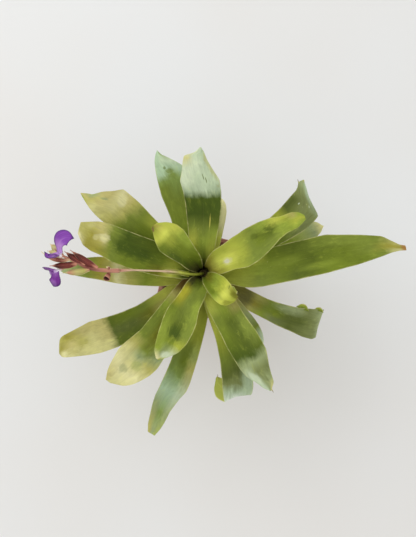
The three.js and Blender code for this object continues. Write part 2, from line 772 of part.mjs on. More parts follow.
// A short open cup beside the scape: what is left of a fallen flower.
const SPENT_BUD = { foot: [-82.2, -4.5, 151.8], facing: [-0.25, -0.85, 0.35] };

function makeSpentBud() {
  const profile = [
    [0, 0],
    [1.3, 0],
    [2.3, 1.6],
    [2.7, 4.4],
    [2.3, 6.4],
    [1.6, 6.2],
    [1.9, 4.4],
    [1.2, 2.4],
    [0, 2],
  ];
  const points = profile.map(([r, z]) => new THREE.Vector2(r, z));
  const cup = new THREE.LatheGeometry(points, 12);
  const upright = new THREE.Vector3(0, 1, 0);
  const facing = vector(SPENT_BUD.facing).normalize();
  cup.applyQuaternion(new THREE.Quaternion().setFromUnitVectors(upright, facing));
  cup.translate(...SPENT_BUD.foot);
  return closeSeam(cup);
}

// One petal: a narrow claw that widens to a rounded blade with a small point.
function makePetal(start, { heading, rise, length, width, droop, roll, sweep = 0 }) {
  const rib = makeRib({
    start,
    length,
    count: 9,
    rise: (s) => rise - droop * ease(0.3 * length, length, s),
    heading: (s) => heading + sweep * ease(0.15 * length, length, s),
    roll: (s) => roll * ease(0, 0.5 * length, s),
  });
  const claw = PETAL_CLAW / width;
  const halfWidth = ({ t }) => {
    const opened = claw + (1 - claw) * ease(0.2, 0.62, t);
    const closed = 1 - ease(0.5, 1.06, t) ** 3;
    return Math.max(LEAST_HALF, (width / 2) * opened * closed);
  };
  return spanBlade(rib, {
    halfWidth,
    bow: ({ t }) => 1.2 / width - (1.6 / width) * ease(0.45, 1, t),
    shift: () => 0,
    ripple: ({ t }, v) => 0.7 * v * v * Math.sin(9 * t) * ease(0.3, 0.7, t),
    thick: PETAL_THICK,
    across: 4,
  });
}

function makeFlower({ throat, petals }) {
  const rib = makeRib({
    start: vector(throat.start),
    length: throat.length,
    count: 4,
    rise: () => throat.rise,
    heading: () => throat.heading,
    roll: () => 0,
  });
  const rings = rib.map((station) => roundRing(station, THROAT_RADIUS * (1 + 0.6 * station.t), 8));
  let flower = toSolid(loftRings(rings));
  const mouth = rib.at(-2).point;
  for (const petal of petals) flower = flower.add(toSolid(makePetal(mouth, petal)));
  return toGeometry(flower);
}

const leafName = (level) => `leaf_${String(level + 1).padStart(2, "0")}`;

const PIECES = [
  ["pot", makePot(), POT_CLAY],
  ["potting_mix", makePottingMix(), BARK_MIX],
  ["stem", makeStem(), STEM_TAN],
  ...LEAVES.map((leaf, level) => [leafName(level), makeLeaf(leaf, level), GREEN_LEAF]),
  ["scape", makeScape(), SCAPE_PINK],
  ["scape_bract", makeScapeBract(), BRACT_GREEN],
  ["spike", makeSpike(), BRACT_RED],
  ["spent_bud", makeSpentBud(), BUD_BROWN],
  ...FLOWERS.map((flower) => [flower.name, makeFlower(flower), PETAL_VIOLET]),
];

const plant = new THREE.Group();
plant.name = "potted_tillandsia_hamaleana";
for (const [name, geometry, look] of PIECES) {
  geometry.computeVertexNormals();
  const mesh = new THREE.Mesh(geometry, new THREE.MeshStandardMaterial(look));
  mesh.name = name;
  plant.add(mesh);
}

export default plant;
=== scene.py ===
# %% [markdown]
# A potted Tillandsia hamaleana, dressed for rendering. The real plant is a rosette of satin strap
# leaves round a dark tank, with a slender spike of violet flowers leaning out of it. The CAD frame
# already holds every solid in its place. Here each leaf, bract and petal is made again as a finer
# blade that lies in its solid, because colour, streaks and pale margins need smooth surfaces with
# coordinates of their own.

import math

import bmesh
import bpy
import numpy as np
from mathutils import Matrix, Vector, noise


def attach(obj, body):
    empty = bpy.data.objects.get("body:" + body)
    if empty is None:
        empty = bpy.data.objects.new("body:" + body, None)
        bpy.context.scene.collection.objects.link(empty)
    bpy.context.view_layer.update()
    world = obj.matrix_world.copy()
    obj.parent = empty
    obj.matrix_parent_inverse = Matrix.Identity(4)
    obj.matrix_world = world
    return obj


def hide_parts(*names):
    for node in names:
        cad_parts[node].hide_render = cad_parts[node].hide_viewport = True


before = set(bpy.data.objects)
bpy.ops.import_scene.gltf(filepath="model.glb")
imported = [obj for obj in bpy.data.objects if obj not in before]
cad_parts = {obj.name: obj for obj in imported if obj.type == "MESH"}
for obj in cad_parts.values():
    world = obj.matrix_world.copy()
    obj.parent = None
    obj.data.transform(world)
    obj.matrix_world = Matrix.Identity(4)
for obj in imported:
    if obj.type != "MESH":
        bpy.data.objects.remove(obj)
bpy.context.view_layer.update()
MM = 0.001

# %% [markdown]
# The photograph looks almost straight down on the plant from a little in front of it. The camera
# could be turned by hand until it looks right. Numbers are surer: it stands 600 mm from a point
# just above the rim, and its lens is worked out from the picture's own size, so that a millimetre
# there is as large as in the photograph.

# %% Camera
IMAGE_WIDTH, IMAGE_HEIGHT = 416, 537
FOCAL_PIXELS = 600
SENSOR_WIDTH = 36
CAMERA_DISTANCE = 0.600
CAMERA_ELEVATION = math.radians(85)
CAMERA_TARGET = Vector((0.0050, 0.0065, 0.080))

camera_data = bpy.data.cameras.new("overhead_camera")
camera_data.sensor_width = SENSOR_WIDTH
camera_data.lens = FOCAL_PIXELS * SENSOR_WIDTH / max(IMAGE_WIDTH, IMAGE_HEIGHT)
camera = bpy.data.objects.new("overhead_camera", camera_data)
bpy.context.scene.collection.objects.link(camera)
back = Vector((0, -math.cos(CAMERA_ELEVATION), math.sin(CAMERA_ELEVATION)))
camera.location = CAMERA_TARGET + back * CAMERA_DISTANCE
camera.rotation_euler = (-back).to_track_quat("-Z", "Y").to_euler()
bpy.context.scene.camera = camera
print("lens:", round(camera_data.lens, 2), "mm")

# %% [markdown]
# Shader sums read best as ordinary sums. The Math nodes could be made and linked one by one, but
# then a sum of four terms fills a page. So a Flow wraps one output socket, and adding, multiplying
# or comparing flows adds the Math nodes by itself.

# %% Sums of flows
class Flow:
    """One output socket of a node tree, on which sums are written as plain expressions."""

    def __init__(self, nodes, node, output=0):
        self.nodes = nodes
        self.node = node
        self.socket = node.outputs[output]

    def out(self, name):
        """Another output of the same node."""
        return Flow(self.nodes, self.node, name)

    def math(self, operation, *others):
        return self.nodes.add("ShaderNodeMath", {"operation": operation}, [self, *others])

    def reflected(self, operation, other):
        return self.nodes.add("ShaderNodeMath", {"operation": operation}, [other, self])

    def __add__(self, other):
        return self.math("ADD", other)

    def __mul__(self, other):
        return self.math("MULTIPLY", other)

    def __sub__(self, other):
        return self.math("SUBTRACT", other)

    def __rsub__(self, other):
        return self.reflected("SUBTRACT", other)

    def __truediv__(self, other):
        return self.math("DIVIDE", other)

    def __pow__(self, other):
        return self.math("POWER", other)

    __radd__ = __add__
    __rmul__ = __mul__

    def size(self):
        return self.math("ABSOLUTE")

    def ease(self, start, end):
        """0 below start and 1 above end, with a soft change between them."""
        if start > end:
            return 1 - self.ease(end, start)
        inputs = {"Value": self, "From Min": start, "From Max": end}
        return self.nodes.add("ShaderNodeMapRange", {"interpolation_type": "SMOOTHSTEP"}, inputs)


print("flows ready")

# %% [markdown]
# Every other node comes from one method. It sets the node's own settings first, because they can
# change its sockets, and then the values or flows of its inputs. A Finish is one material. It mixes
# colours with Mix nodes, because a Math node would turn them grey, and it feeds the shader's
# colour, roughness and bump in one go.

# %% Node trees and finishes
class Nodes:
    """A node tree in which one method makes any node."""

    def __init__(self, tree):
        self.tree = tree

    def add(self, kind, settings=None, inputs=None, output=0):
        """Makes a node: first its settings, then the values or flows of its sockets."""
        node = self.tree.nodes.new(kind)
        for name, value in (settings or {}).items():
            if name == "stops":
                self.set_stops(node.color_ramp, value)
            else:
                setattr(node, name, value)
        pairs = inputs.items() if isinstance(inputs, dict) else enumerate(inputs or [])
        for key, value in pairs:
            self.feed(node.inputs[key], value)
        return Flow(self, node, output)

    def feed(self, socket, value):
        if isinstance(value, Flow):
            self.tree.links.new(value.socket, socket)
        else:
            socket.default_value = value

    def set_stops(self, ramp, stops):
        while len(ramp.elements) < len(stops):
            ramp.elements.new(0.5)
        for element, (position, colour) in zip(ramp.elements, stops):
            element.position = position
            element.color = colour


class Finish(Nodes):
    """One procedural material."""

    def __init__(self, name, **sockets):
        self.material = bpy.data.materials.new(name)
        self.material.use_nodes = True
        super().__init__(self.material.node_tree)
        self.shader = self.tree.nodes["Principled BSDF"]
        for socket, value in sockets.items():
            self.shader.inputs[socket.replace("_", " ")].default_value = value

    def ramp(self, stops, share):
        """Runs through the colours of the stops as share grows."""
        return self.add("ShaderNodeValToRGB", {"stops": stops}, [share])

    def mix(self, share, first, second, blend="MIX"):
        """Mixes two colours, given as flows or linear colours."""
        settings = {"data_type": "RGBA", "blend_type": blend}
        return self.add("ShaderNodeMix", settings, {0: share, 6: first, 7: second}, output=2)

    def brighten(self, colour, brightness):
        """Multiplies a colour by a plain number or flow."""
        return self.mix(1, colour, brightness, "MULTIPLY")

    def vector(self, operation, first, second):
        return self.add("ShaderNodeVectorMath", {"operation": operation}, [first, second])

    def noise(self, place, scale, detail, roughness, distortion=0.0):
        inputs = {"Vector": place, "Scale": scale, "Detail": detail, "Roughness": roughness}
        inputs["Distortion"] = distortion
        return self.add("ShaderNodeTexNoise", {"noise_dimensions": "3D"}, inputs)

    def object_place(self):
        """Position in metres, the same at every pose."""
        return self.add("ShaderNodeTexCoord", output="Object")

    def dress(self, colour, roughness=None, relief=None, depth=None, strength=None):
        """Feeds the shader's colour, and its roughness and bump where they are given."""
        self.feed(self.shader.inputs["Base Color"], colour)
        if roughness is not None:
            self.feed(self.shader.inputs["Roughness"], roughness)
        if relief is not None:
            inputs = {"Height": relief, "Distance": depth, "Strength": strength}
            self.feed(self.shader.inputs["Normal"], self.add("ShaderNodeBump", {}, inputs))
        return self.material


print("finishes ready")

# %% [markdown]
# A leaf, a bract and a petal are all blades: a rib that leaves in some direction and bends, and a
# width across it that is hollowed like a gutter. They could be sculpted by hand, but the rules that
# made the CAD solids also make the fine blades, so these lie in their solids. The rib comes first.
# Its angles are functions of the distance from its foot, and its stations stand closer together
# near both ends, where a blade narrows.

# %% Ribs
RIB_STEPS = 1200


def ease(start, end, x):
    """0 below start and 1 above end, with a soft change between them."""
    u = np.clip((np.asarray(x, float) - start) / (end - start), 0, 1)
    return u * u * (3 - 2 * u)


def steady(angle):
    """An angle that is the same all along a rib."""
    return lambda s: float(angle)


def station_shares(count):
    """Shares of a rib's length for count steps."""
    x = np.linspace(0, 1, count + 1)
    return x - 0.5 * np.sin(2 * math.pi * x) / (2 * math.pi)


def rib_directions(rise, heading, roll):
    """Along, side and up vectors for angles in degrees."""
    e, h, r = (np.radians(angle)[:, None] for angle in (rise, heading, roll))
    along = np.hstack([np.cos(e) * np.cos(h), np.cos(e) * np.sin(h), np.sin(e)])
    level = np.hstack([-np.sin(h), np.cos(h), np.zeros_like(e)])
    face = np.hstack([-np.sin(e) * np.cos(h), -np.sin(e) * np.sin(h), np.cos(e)])
    return along, level * np.cos(r) + face * np.sin(r), face * np.cos(r) - level * np.sin(r)


def make_rib(start, length, count, rise, heading, roll):
    """Follows a rib in fine steps and returns its stations."""
    s = np.linspace(0, length, RIB_STEPS + 1)
    middle = (s[1:] + s[:-1]) / 2
    full = np.ones_like(middle)
    along, _, _ = rib_directions(rise(middle) * full, heading(middle) * full, roll(middle) * full)
    steps = np.cumsum(along * (length / RIB_STEPS), axis=0)
    path = np.vstack([np.zeros(3), steps]) + np.array(start, float)
    t = station_shares(count)
    at = t * length
    points = np.stack([np.interp(at, s, path[:, k]) for k in range(3)], axis=1)
    full = np.ones_like(t)
    along, side, up = rib_directions(rise(at) * full, heading(at) * full, roll(at) * full)
    return {"t": t, "s": at, "points": points, "along": along, "side": side, "up": up}


print("a rib of four steps has stations at", station_shares(4).round(2))

# %% [markdown]
# Two sets of coordinates go on every blade: its shares across and along, for bands and margins,
# and its millimetres, for streaks and grain of one scale on every piece. An unwrapping tool could
# lay them out too, but only the rib knows which way the veins run.

# %% Meshes and coordinates
MM_PER_UNIT = 100


def mesh_object(name, points, faces, materials=(), face_slots=None, smooth=True):
    """A mesh object from points in millimetres."""
    mesh = bpy.data.meshes.new(name)
    mesh.from_pydata((np.asarray(points) * MM).tolist(), [], faces)
    for material in materials:
        mesh.materials.append(material)
    if face_slots is not None:
        mesh.polygons.foreach_set("material_index", face_slots)
    mesh.polygons.foreach_set("use_smooth", [smooth] * len(mesh.polygons))
    mesh.update()
    piece = bpy.data.objects.new(name, mesh)
    bpy.context.scene.collection.objects.link(piece)
    return piece


def lay_out(rib, x, y):
    """Points at distances x to the side and y up from each station of a rib."""
    return rib["points"][:, None] + rib["side"][:, None] * x[..., None] + rib["up"][:, None] * y[..., None]


def pair_up(across, along):
    """Every value across with its station along, as rows of two."""
    return np.stack(np.broadcast_arrays(across, along[:, None]), axis=-1).reshape(-1, 2)


def write_layer(mesh, name, values):
    layer = mesh.uv_layers.new(name=name)
    corner_points = np.zeros(len(mesh.loops), int)
    mesh.loops.foreach_get("vertex_index", corner_points)
    layer.data.foreach_set("uv", values[corner_points].ravel())


def write_coordinates(mesh, shares, millimetres):
    """Writes both sets, one pair of numbers for each point."""
    write_layer(mesh, "share", np.vstack(shares))
    write_layer(mesh, "millimetres", np.vstack(millimetres) / MM_PER_UNIT)


print("coordinates are written in units of", MM_PER_UNIT, "mm")

# %% [markdown]
# A real blade is under a millimetre thick and thins to its margins. A flat sheet with a Solidify
# modifier would give one thickness everywhere, so the blade is two layers of points over its rib,
# closed by a wall. Its back has a slot of its own, because leaves are greyer underneath.

# %% Blades
EDGE_CROWDING = 0.35
EDGE_THINNING = 0.62
LEAST_BOW = 1e-6
CREASE_ANGLE = math.radians(50)


def blade_faces(rows, columns):
    """Closes two layers of points. The back is slot 1, and all the rest is slot 0."""
    under, last = rows * columns, columns - 1
    faces, slots = [], []
    for i in range(rows - 1):
        for j in range(last):
            k = i * columns + j
            faces.append((k, k + columns, k + columns + 1, k + 1))
            faces.append((under + k, under + k + 1, under + k + columns + 1, under + k + columns))
            slots += [0, 1]
    for i in range(rows - 1):
        a, b = i * columns, i * columns + last
        faces.append((a, under + a, under + a + columns, a + columns))
        faces.append((b, b + columns, under + b + columns, under + b))
        slots += [0, 0]
    for j in range(last):
        a = (rows - 1) * columns + j
        faces.append((j, j + 1, under + j + 1, under + j))
        faces.append((a, under + a, under + a + 1, a + 1))
        slots += [0, 0]
    return faces, slots


def span_blade(name, rib, half, bow, thick, across, materials, shift=None, ripple=None):
    """Spans a closed blade over a rib. half, bow and shift hold a value for each station."""
    rows, columns = len(rib["t"]), across + 1
    v = np.linspace(-1, 1, columns)
    v = np.sin(v * math.pi / 2) * EDGE_CROWDING + v * (1 - EDGE_CROWDING)
    bow = np.where(np.abs(bow) < LEAST_BOW, LEAST_BOW, bow)[:, None]
    angle = half[:, None] * bow * v[None, :]
    shift = np.zeros(rows) if shift is None else shift
    wave = np.zeros((rows, columns)) if ripple is None else ripple(rib, v)
    lift = thick / 2 * (1 - EDGE_THINNING * np.abs(v) ** 6)
    layers = []
    for sign in (1, -1):
        x = np.sin(angle) / bow + shift[:, None] - sign * lift * np.sin(angle)
        y = (1 - np.cos(angle)) / bow + wave + sign * lift * np.cos(angle)
        layers.append(lay_out(rib, x, y).reshape(-1, 3))
    faces, slots = blade_faces(rows, columns)
    slots = [min(slot, len(materials) - 1) for slot in slots]
    piece = mesh_object(name, np.vstack(layers), faces, materials, slots)
    shares = pair_up((v[None, :] + 1) / 2, rib["t"])
    millimetres = pair_up(half[:, None] * v[None, :], rib["s"])
    write_coordinates(piece.data, [shares] * 2, [millimetres] * 2)
    piece.data.set_sharp_from_angle(angle=CREASE_ANGLE)
    return piece


print("a blade of 2 by 2 cells has", len(blade_faces(3, 3)[0]), "faces")

# %% [markdown]
# Each finished piece stands for one solid of the frame. It rides with the plant's one body and
# hides the solid that it replaces.

# %% Places
def place(piece, slot, node):
    """Lets a piece ride with the plant and stand for its solid."""
    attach(piece, "root")
    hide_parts(node)
    return piece


print("places ready")

# %% [markdown]
# The finishes name their colours in one palette, so that a tone is judged and changed in one place.
# They were judged against the photograph: near-black olive in the tank, yellow-greens along the
# blades, and mint, straw or tan where the blades turn down. The codes are screen colours, and
# Blender sums light in linear numbers, so each channel goes through the screen's own curve.

# %% Palette
# Some tones are partly painted light. tank, the near-black at the feet of the leaves, is partly painted
# shade. The mints, ice, frost, straw and linen of the turned-down ends are partly a painted sheen, and
# glow, cream and white also paint highlights.
PALETTE = {
    "tank": "3f3f20",
    "bark": "6a5524",
    "drab": "7b7742",
    "deep": "435414",
    "shade": "56641b",
    "slate": "5a652b",
    "olive": "6e701f",
    "leaf": "6b7a22",
    "moss": "768432",
    "fern": "8a9a38",
    "lime": "a0a83e",
    "bright": "b8bd4d",
    "glow": "cad05a",
    "mustard": "aca832",
    "ochre": "96903a",
    "khaki": "aaa65b",
    "tan": "b8b06f",
    "straw": "c4c080",
    "linen": "d1cd96",
    "dull": "747d4a",
    "cool_green": "7b8f47",
    "pale_fern": "9ca85c",
    "sage": "8f9b6b",
    "grey_mint": "9cad8c",
    "cool_mint": "a5bd9a",
    "mint": "b3c3a2",
    "ice": "c4d0b0",
    "frost": "cdd7c8",
    "cream": "dfdda2",
    "brown_tip": "6e5330",
    "orange_tip": "9a6c3a",
    "crack": "d8cf62",
    "clay": "9b6656",
    "clay_dust": "bd9080",
    "chip": "6b4f2a",
    "chip_pale": "94794e",
    "chip_dark": "2f2313",
    "stem": "8d7c4c",
    "scape": "b47c68",
    "scape_pale": "cdb192",
    "bract": "6b2d26",
    "bract_dark": "351412",
    "bract_pink": "b67c66",
    "bract_green": "a8a55a",
    "bud_cream": "d9cc9a",
    "violet": "8444aa",
    "violet_dark": "2f1350",
    "violet_red": "70268a",
    "lilac": "b283c8",
    "white": "e9e4ee",
    "floor": "e1e3e4",
    "floor_warm": "dfdedc",
}


def tint(name):
    """A palette colour in Blender's linear numbers."""
    channels = [int(PALETTE[name][i : i + 2], 16) / 255 for i in (0, 2, 4)]
    linear = [c / 12.92 if c <= 0.04045 else ((c + 0.055) / 1.055) ** 2.4 for c in channels]
    return (*linear, 1.0)


print("palette:", len(PALETTE), "colours")

# %% [markdown]
# A bromeliad leaf is satin, not glossy: a film of tiny scales lies over parallel veins. A painted
# image could show one leaf, but noise gives twenty that differ. Noise stretched along the veins
# streaks a blade, rounder noise mottles it, and very fine noise is its grain. A seed moves each
# leaf to another place in the same noises.

# %% Layers of a blade
NOISES = {
    "veins": ((130, 5), 3, 0.6, 0.0),
    "streaks": ((34, 3.2), 3, 0.6, 0.4),
    "mottle": ((26, 13), 4, 0.6, 0.8),
    "blotches": ((8, 5), 3, 0.55, 0.6),
    "grain": ((220, 150), 2, 0.6, 0.0),
}
CELL_STRETCH = (42, 22)
SEED_SHIFT = (0.37, 0.91)
LEAST_ACROSS = 0.02


def blade_layers(finish, seed):
    """The flows that every blade finish is made of. inward is millimetres from the margin."""
    share = finish.add("ShaderNodeUVMap", {"uv_map": "share"})
    size = finish.add("ShaderNodeUVMap", {"uv_map": "millimetres"})
    parts = finish.add("ShaderNodeSeparateXYZ", {}, [share])
    sideways = finish.add("ShaderNodeSeparateXYZ", {}, [size])
    across = parts * 2 - 1
    moved = finish.vector("ADD", size, (seed * SEED_SHIFT[0], seed * SEED_SHIFT[1], 0))
    half = sideways.size() * MM_PER_UNIT / (across.size() + LEAST_ACROSS)
    layer = {"across": across, "along": parts.out("Y"), "inward": half * (1 - across.size())}
    for name, (stretch, detail, roughness, distortion) in NOISES.items():
        stretched = finish.vector("MULTIPLY", moved, (*stretch, 1))
        layer[name] = finish.noise(stretched, 1, detail, roughness, distortion)
    cells = {"Vector": finish.vector("MULTIPLY", moved, (*CELL_STRETCH, 1)), "Scale": 1}
    layer["cells"] = finish.add("ShaderNodeTexVoronoi", {}, cells)
    return layer


def stray(layer, start, **shares):
    """start, pushed up and down by shares of the noises."""
    for name, share in shares.items():
        start = start + (layer[name] - 0.5) * share
    return start


def read_tones(words):
    """Ramp stops from words such as 'olive .42, lime .78': a palette colour and its share."""
    pairs = (word.split() for word in words.split(","))
    return [(float(share), tint(name)) for name, share in pairs]


print("noises:", list(NOISES))

# %% [markdown]
# One side of a leaf is often aged differently from the other, and on a few leaves one side is painted
# lighter where shade falls on it. One ramp along the blade would miss that, so three set the tone:
# along the middle and along both sides. Scars, worn patches and painted highlights lie over them, and
# the margin is a hair of straw. The noises that streak the colour also feed the bump and the
# roughness, so light and colour break up together.

# %% Leaf finish
def patch(layer, along, across, long, wide, ragged=1.4):
    """1 in a ragged spot whose middle and half sizes are shares of the blade."""
    x = (layer["across"] - across) / wide
    y = (layer["along"] - along) / long
    distance = stray(layer, (x * x + y * y) ** 0.5, mottle=ragged)
    return distance.ease(1.2, 0.5)


def three_tones(finish, layer, look, uneven):
    """The tone of the middle, and of both sides where they differ."""
    tones = {}
    for part in ("middle", "right", "left"):
        tones[part] = finish.ramp(read_tones(look.get(part, look["middle"])), uneven)
    sideways = stray(layer, layer["across"], mottle=0.5)
    colour = finish.mix(sideways.ease(-0.05, -0.7), tones["middle"], tones["right"])
    return finish.mix(sideways.ease(0.05, 0.7), colour, tones["left"])


def add_flecks(finish, layer, colour):
    """Yellowing in slow patches and a few pale scales."""
    mottle, blotches, cells = layer["mottle"], layer["blotches"], layer["cells"]
    yellowing = mottle.ease(0.52, 0.78) * blotches.ease(0.35, 0.7)
    colour = finish.mix(yellowing * 0.3, colour, tint("bright"))
    rare = cells.out("Color").ease(0.84, 0.86)
    flecks = cells.out("Distance").ease(0.16, 0.08) * rare * blotches.ease(0.48, 0.58)
    return finish.mix(flecks * 0.35, colour, tint("cream"))


def add_margin(finish, layer, colour):
    """The thin straw-coloured margin, broken here and there and fading to the tip."""
    hair = stray(layer, layer["inward"], streaks=0.9).ease(0.85, 0.3) * layer["along"].ease(0.08, 0.2)
    hair = hair * (0.25 + layer["mottle"].ease(0.4, 0.6) * 0.45) * layer["along"].ease(1.05, 0.6)
    return finish.mix(hair, colour, tint("straw"))


def leaf_finish(name, look, seed):
    """look holds tones for the middle and, where they differ, for the right and the left side."""
    finish = Finish(name, Roughness=0.42, Specular_IOR_Level=0.12)
    layer = blade_layers(finish, seed)
    uneven = stray(layer, layer["along"], streaks=0.015, mottle=0.025, blotches=0.05)
    colour = three_tones(finish, layer, look, uneven)
    # Spots: scars and worn patches, and on some leaves painted highlights and sheen.
    for along, across, long, wide, spot, strength in look.get("spots", ()):
        spread = patch(layer, along, across, long, wide) * strength
        colour = finish.mix(spread, colour, tint(spot))
    bright = stray(layer, 1, veins=0.25, streaks=0.35, mottle=0.45, blotches=0.45)
    colour = finish.brighten(colour, bright)
    colour = add_margin(finish, layer, add_flecks(finish, layer, colour))
    if "tip" in look:
        tip_colour, share = look["tip"]
        dry = stray(layer, uneven, mottle=-0.04).ease(share, share + 0.025)
        colour = finish.mix(dry * 0.85, colour, tint(tip_colour))
    rough = 0.34 + layer["veins"] * 0.1 + layer["blotches"] * 0.14
    relief = layer["veins"] * 0.45 + layer["streaks"] * 0.7 + layer["mottle"] * 0.9 + layer["grain"] * 0.2
    return finish.dress(colour, rough, relief, 0.0004, 0.55)


print("leaf finish ready")

# %% [markdown]
# The back of a leaf is greyer, its veins stand out and it shares the pale margin. The face's
# finish could serve both, but a few leaves turn their backs to the light, and there the difference
# shows. So the backs get three plainer finishes.

# %% Leaf backs
def underside_finish(name, colour_name, seed):
    finish = Finish(name, Roughness=0.55, Specular_IOR_Level=0.4)
    layer = blade_layers(finish, seed)
    tones = read_tones(f"bark .12, olive .3, {colour_name} .55, {colour_name} 1")
    colour = finish.ramp(tones, stray(layer, layer["along"], blotches=0.1))
    colour = finish.brighten(colour, stray(layer, 1, veins=0.35, streaks=0.3))
    colour = finish.mix(layer["inward"].ease(0.9, 0.3) * 0.5, colour, tint("cream"))
    relief = layer["veins"] * 0.9 + layer["grain"] * 0.3
    return finish.dress(colour, 0.5 + layer["veins"] * 0.12, relief, 0.0003, 0.6)


BACK_FINISHES = {
    "grey": underside_finish("leaf_back", "sage", 40),
    "pale": underside_finish("leaf_back_pale", "mint", 41),
    "fern": underside_finish("leaf_back_green", "lime", 42),
}
print("backs:", list(BACK_FINISHES))

# %% [markdown]
# Twenty leaves stand round the tank, the youngest innermost. One leaf could be copied round, but
# no two are alike, so each has a row: its angles in degrees and sizes in millimetres, then what
# differs from the usual leaf, then its margins. It leaves the tank upright, bends outwards, arches
# along its length and droops at its end. A margin entry is a share of the length and the distances
# from the midrib to the left and the right edge.

# %% Leaf table
STEM_TOP = 96
INNER_RADIUS = 4.6
LEVEL_STEP = 0.6
LEVEL_DROP = 1.25
LEAF_THICK = 0.8
LEAST_HALF = 0.4
UPRIGHT = 8
WRAP = 48
WRAP_OUT = 33
LEAF_USUAL = {
    "start": 0.78, "until": 1, "bend": 26, "sweep": 0, "hook": 0, "cup": 0.35, "wave": 0.5,
}  # fmt: skip
LEAF_COLUMNS = ("heading", "length", "width", "rise", "arch", "droop")
LEAVES = [
    ((312, 77, 25, 64, 12, 80), {}, [
        (0.5, 8, 12), (0.66, 9, 13.4), (0.83, 8, 12.7), (0.92, 7.2, 10), (0.97, 7.2, 6), (1, 7.2, -1),
    ]),
    ((137, 92.5, 27, 58, 16, 75), {"sweep": -6}, [
        (0.5, 13.9, 8), (0.66, 17, 11.2), (0.77, 17.3, 13.1), (0.86, 13.8, 10.6), (0.94, 9.6, 5),
        (1, 7, -1),
    ]),
    ((250, 122, 32, 50, 24, 75), {"sweep": -8}, [
        (0.5, 10.3, 14.5), (0.62, 13.8, 15.9), (0.7, 14.6, 15.3), (0.79, 14, 13.4), (0.87, 10.5, 10.8),
        (0.93, 5.2, 8.6), (1, -2, 4.5),
    ]),
    ((29, 129, 33, 46, 26, 35), {"sweep": -5}, [
        (0.4, 12.2, 16.9), (0.49, 13.8, 18.9), (0.58, 14.4, 17.6), (0.69, 14, 13.4), (0.78, 12.4, 8.3),
        (0.84, 9.8, 6.4), (0.92, 8.9, 6), (0.97, 6.6, 3.6), (1, 2.2, 1.6),
    ]),
    ((164.5, 140, 34, 35, 18, 50), {}, [
        (0.6, 17, 14.6), (0.72, 16.2, 15.9), (0.8, 12.8, 16.7), (0.87, 11.2, 15.8), (0.93, 8, 13.5),
        (1, -1, 11.5),
    ]),
    ((299, 147.5, 29, 42, 26, 40), {}, [
        (0.52, 13.4, 14), (0.66, 15, 14.8), (0.77, 14.6, 14.3), (0.81, 12.5, 13.8), (0.86, 9.6, 11.8),
        (0.91, 7.7, 7.2), (0.96, 6.4, 4.2), (1, 0.8, 0.2),
    ]),
    ((91, 134, 35, 40, 22, 40), {}, [
        (0.4, 12.8, 15.7), (0.6, 14.7, 18.6), (0.69, 16.3, 18.6), (0.77, 19, 17.1), (0.83, 17, 11.6),
        (0.9, 15.8, 5.9), (0.94, 14.6, 4), (0.96, 5.6, 3.2), (1, 0.6, 0.6),
    ]),
    ((236, 153, 36, 34, 24, 55), {"sweep": -6}, [
        (0.62, 18, 14), (0.74, 19.8, 17.4), (0.79, 18.6, 18.2), (0.84, 15.6, 16.7), (0.89, 11.4, 15.2),
        (0.94, 5.8, 13.3), (1, -5, 10),
    ]),
    ((5.5, 201, 36, 28, 22, 20), {}, [
        (0.34, 14, 20.6), (0.52, 17.8, 17.1), (0.65, 20.4, 13.7), (0.76, 18.1, 10), (0.89, 14, 3.8),
        (0.93, 9.6, 1.4), (0.97, 5.4, 0.3), (1, 4, 0.5),
    ]),
    ((145, 152, 34, 32, 20, 50), {}, [
        (0.5, 16, 13.2), (0.66, 17, 17.6), (0.78, 16.2, 18.9), (0.82, 15.2, 12), (0.87, 13.2, 6),
        (0.91, 11.2, -1.2), (1, 6.5, -5.6),
    ]),
    ((297, 165.5, 27, 30, 22, 165), {"start": 0.775, "until": 0.86, "sweep": -30, "hook": 60}, [
        (0.5, 13, 14.2), (0.76, 13.3, 14.6), (0.79, 12.2, 14.2), (0.81, 10.3, 13.6), (0.86, 8, 13.8),
        (0.92, 6, 15.4), (0.945, 4, 14.8), (0.975, 2, 10.4), (1, 0.6, 0.6),
    ]),
    ((29.5, 143, 30, 28, 20, 30), {"sweep": 18}, [
        (0.3, 12, 13), (0.6, 6, 19), (0.75, 6.2, 24.4), (0.84, 6.8, 24.6), (0.878, 7, 24),
        (0.902, 7.1, 14.3), (0.93, 8.2, 5.2), (0.966, 10.9, -1.8), (1, 8.9, -8),
    ]),
    ((178.5, 150, 28, 22, 20, 40), {}, [
        (0.5, 15, 12), (0.6, 13.4, 11), (0.72, 10.2, 11.3), (0.83, 7.7, 9), (0.93, 5, 5), (1, 0.6, 0.6),
    ]),
    ((309, 100, 21, 22, 20, 40), {}, []),
    ((106, 136, 34, 26, 20, 40), {}, [
        (0.5, 15.4, 16), (0.65, 17.9, 16.5), (0.78, 17.4, 14), (0.83, 16.8, 8.4), (0.9, 15.1, -0.8),
        (0.95, 13, -6.6), (1, 10, -9.4),
    ]),
    ((260.5, 167, 24, 22, 20, 25), {"sweep": -18}, [
        (0.5, 12.5, 10), (0.66, 13.8, 10.9), (0.71, 13.3, 11.1), (0.75, 10.7, 11.3), (0.79, 9.1, 11.6),
        (0.84, 7.3, 10.2), (0.9, 7.3, 7.8), (0.95, 6.6, 6), (1, 4.6, 2.6),
    ]),
    ((21.5, 135, 24, 18, 18, 40), {}, []),
    ((219, 171, 29, 18, 18, 70), {"start": 0.84, "sweep": -23}, [
        (0.45, 14, 12), (0.6, 15, 15), (0.73, 13.6, 17.8), (0.82, 10.4, 15.3), (0.9, 7.5, 13.2),
        (0.925, 6.5, 11.4), (1, 3.4, -1.5),
    ]),
    ((329, 132, 24, 16, 18, 60), {"start": 0.84, "sweep": 12}, [
        (0.4, 8.6, 9.4), (0.54, 8.2, 10), (0.69, 10.2, 11.6), (0.78, 12, 11.8), (0.87, 15.4, 13),
        (0.94, 17.6, 12.2), (1, 19.6, 8.8),
    ]),
    ((78, 84, 22, 20, 18, 50), {}, []),
]  # fmt: skip
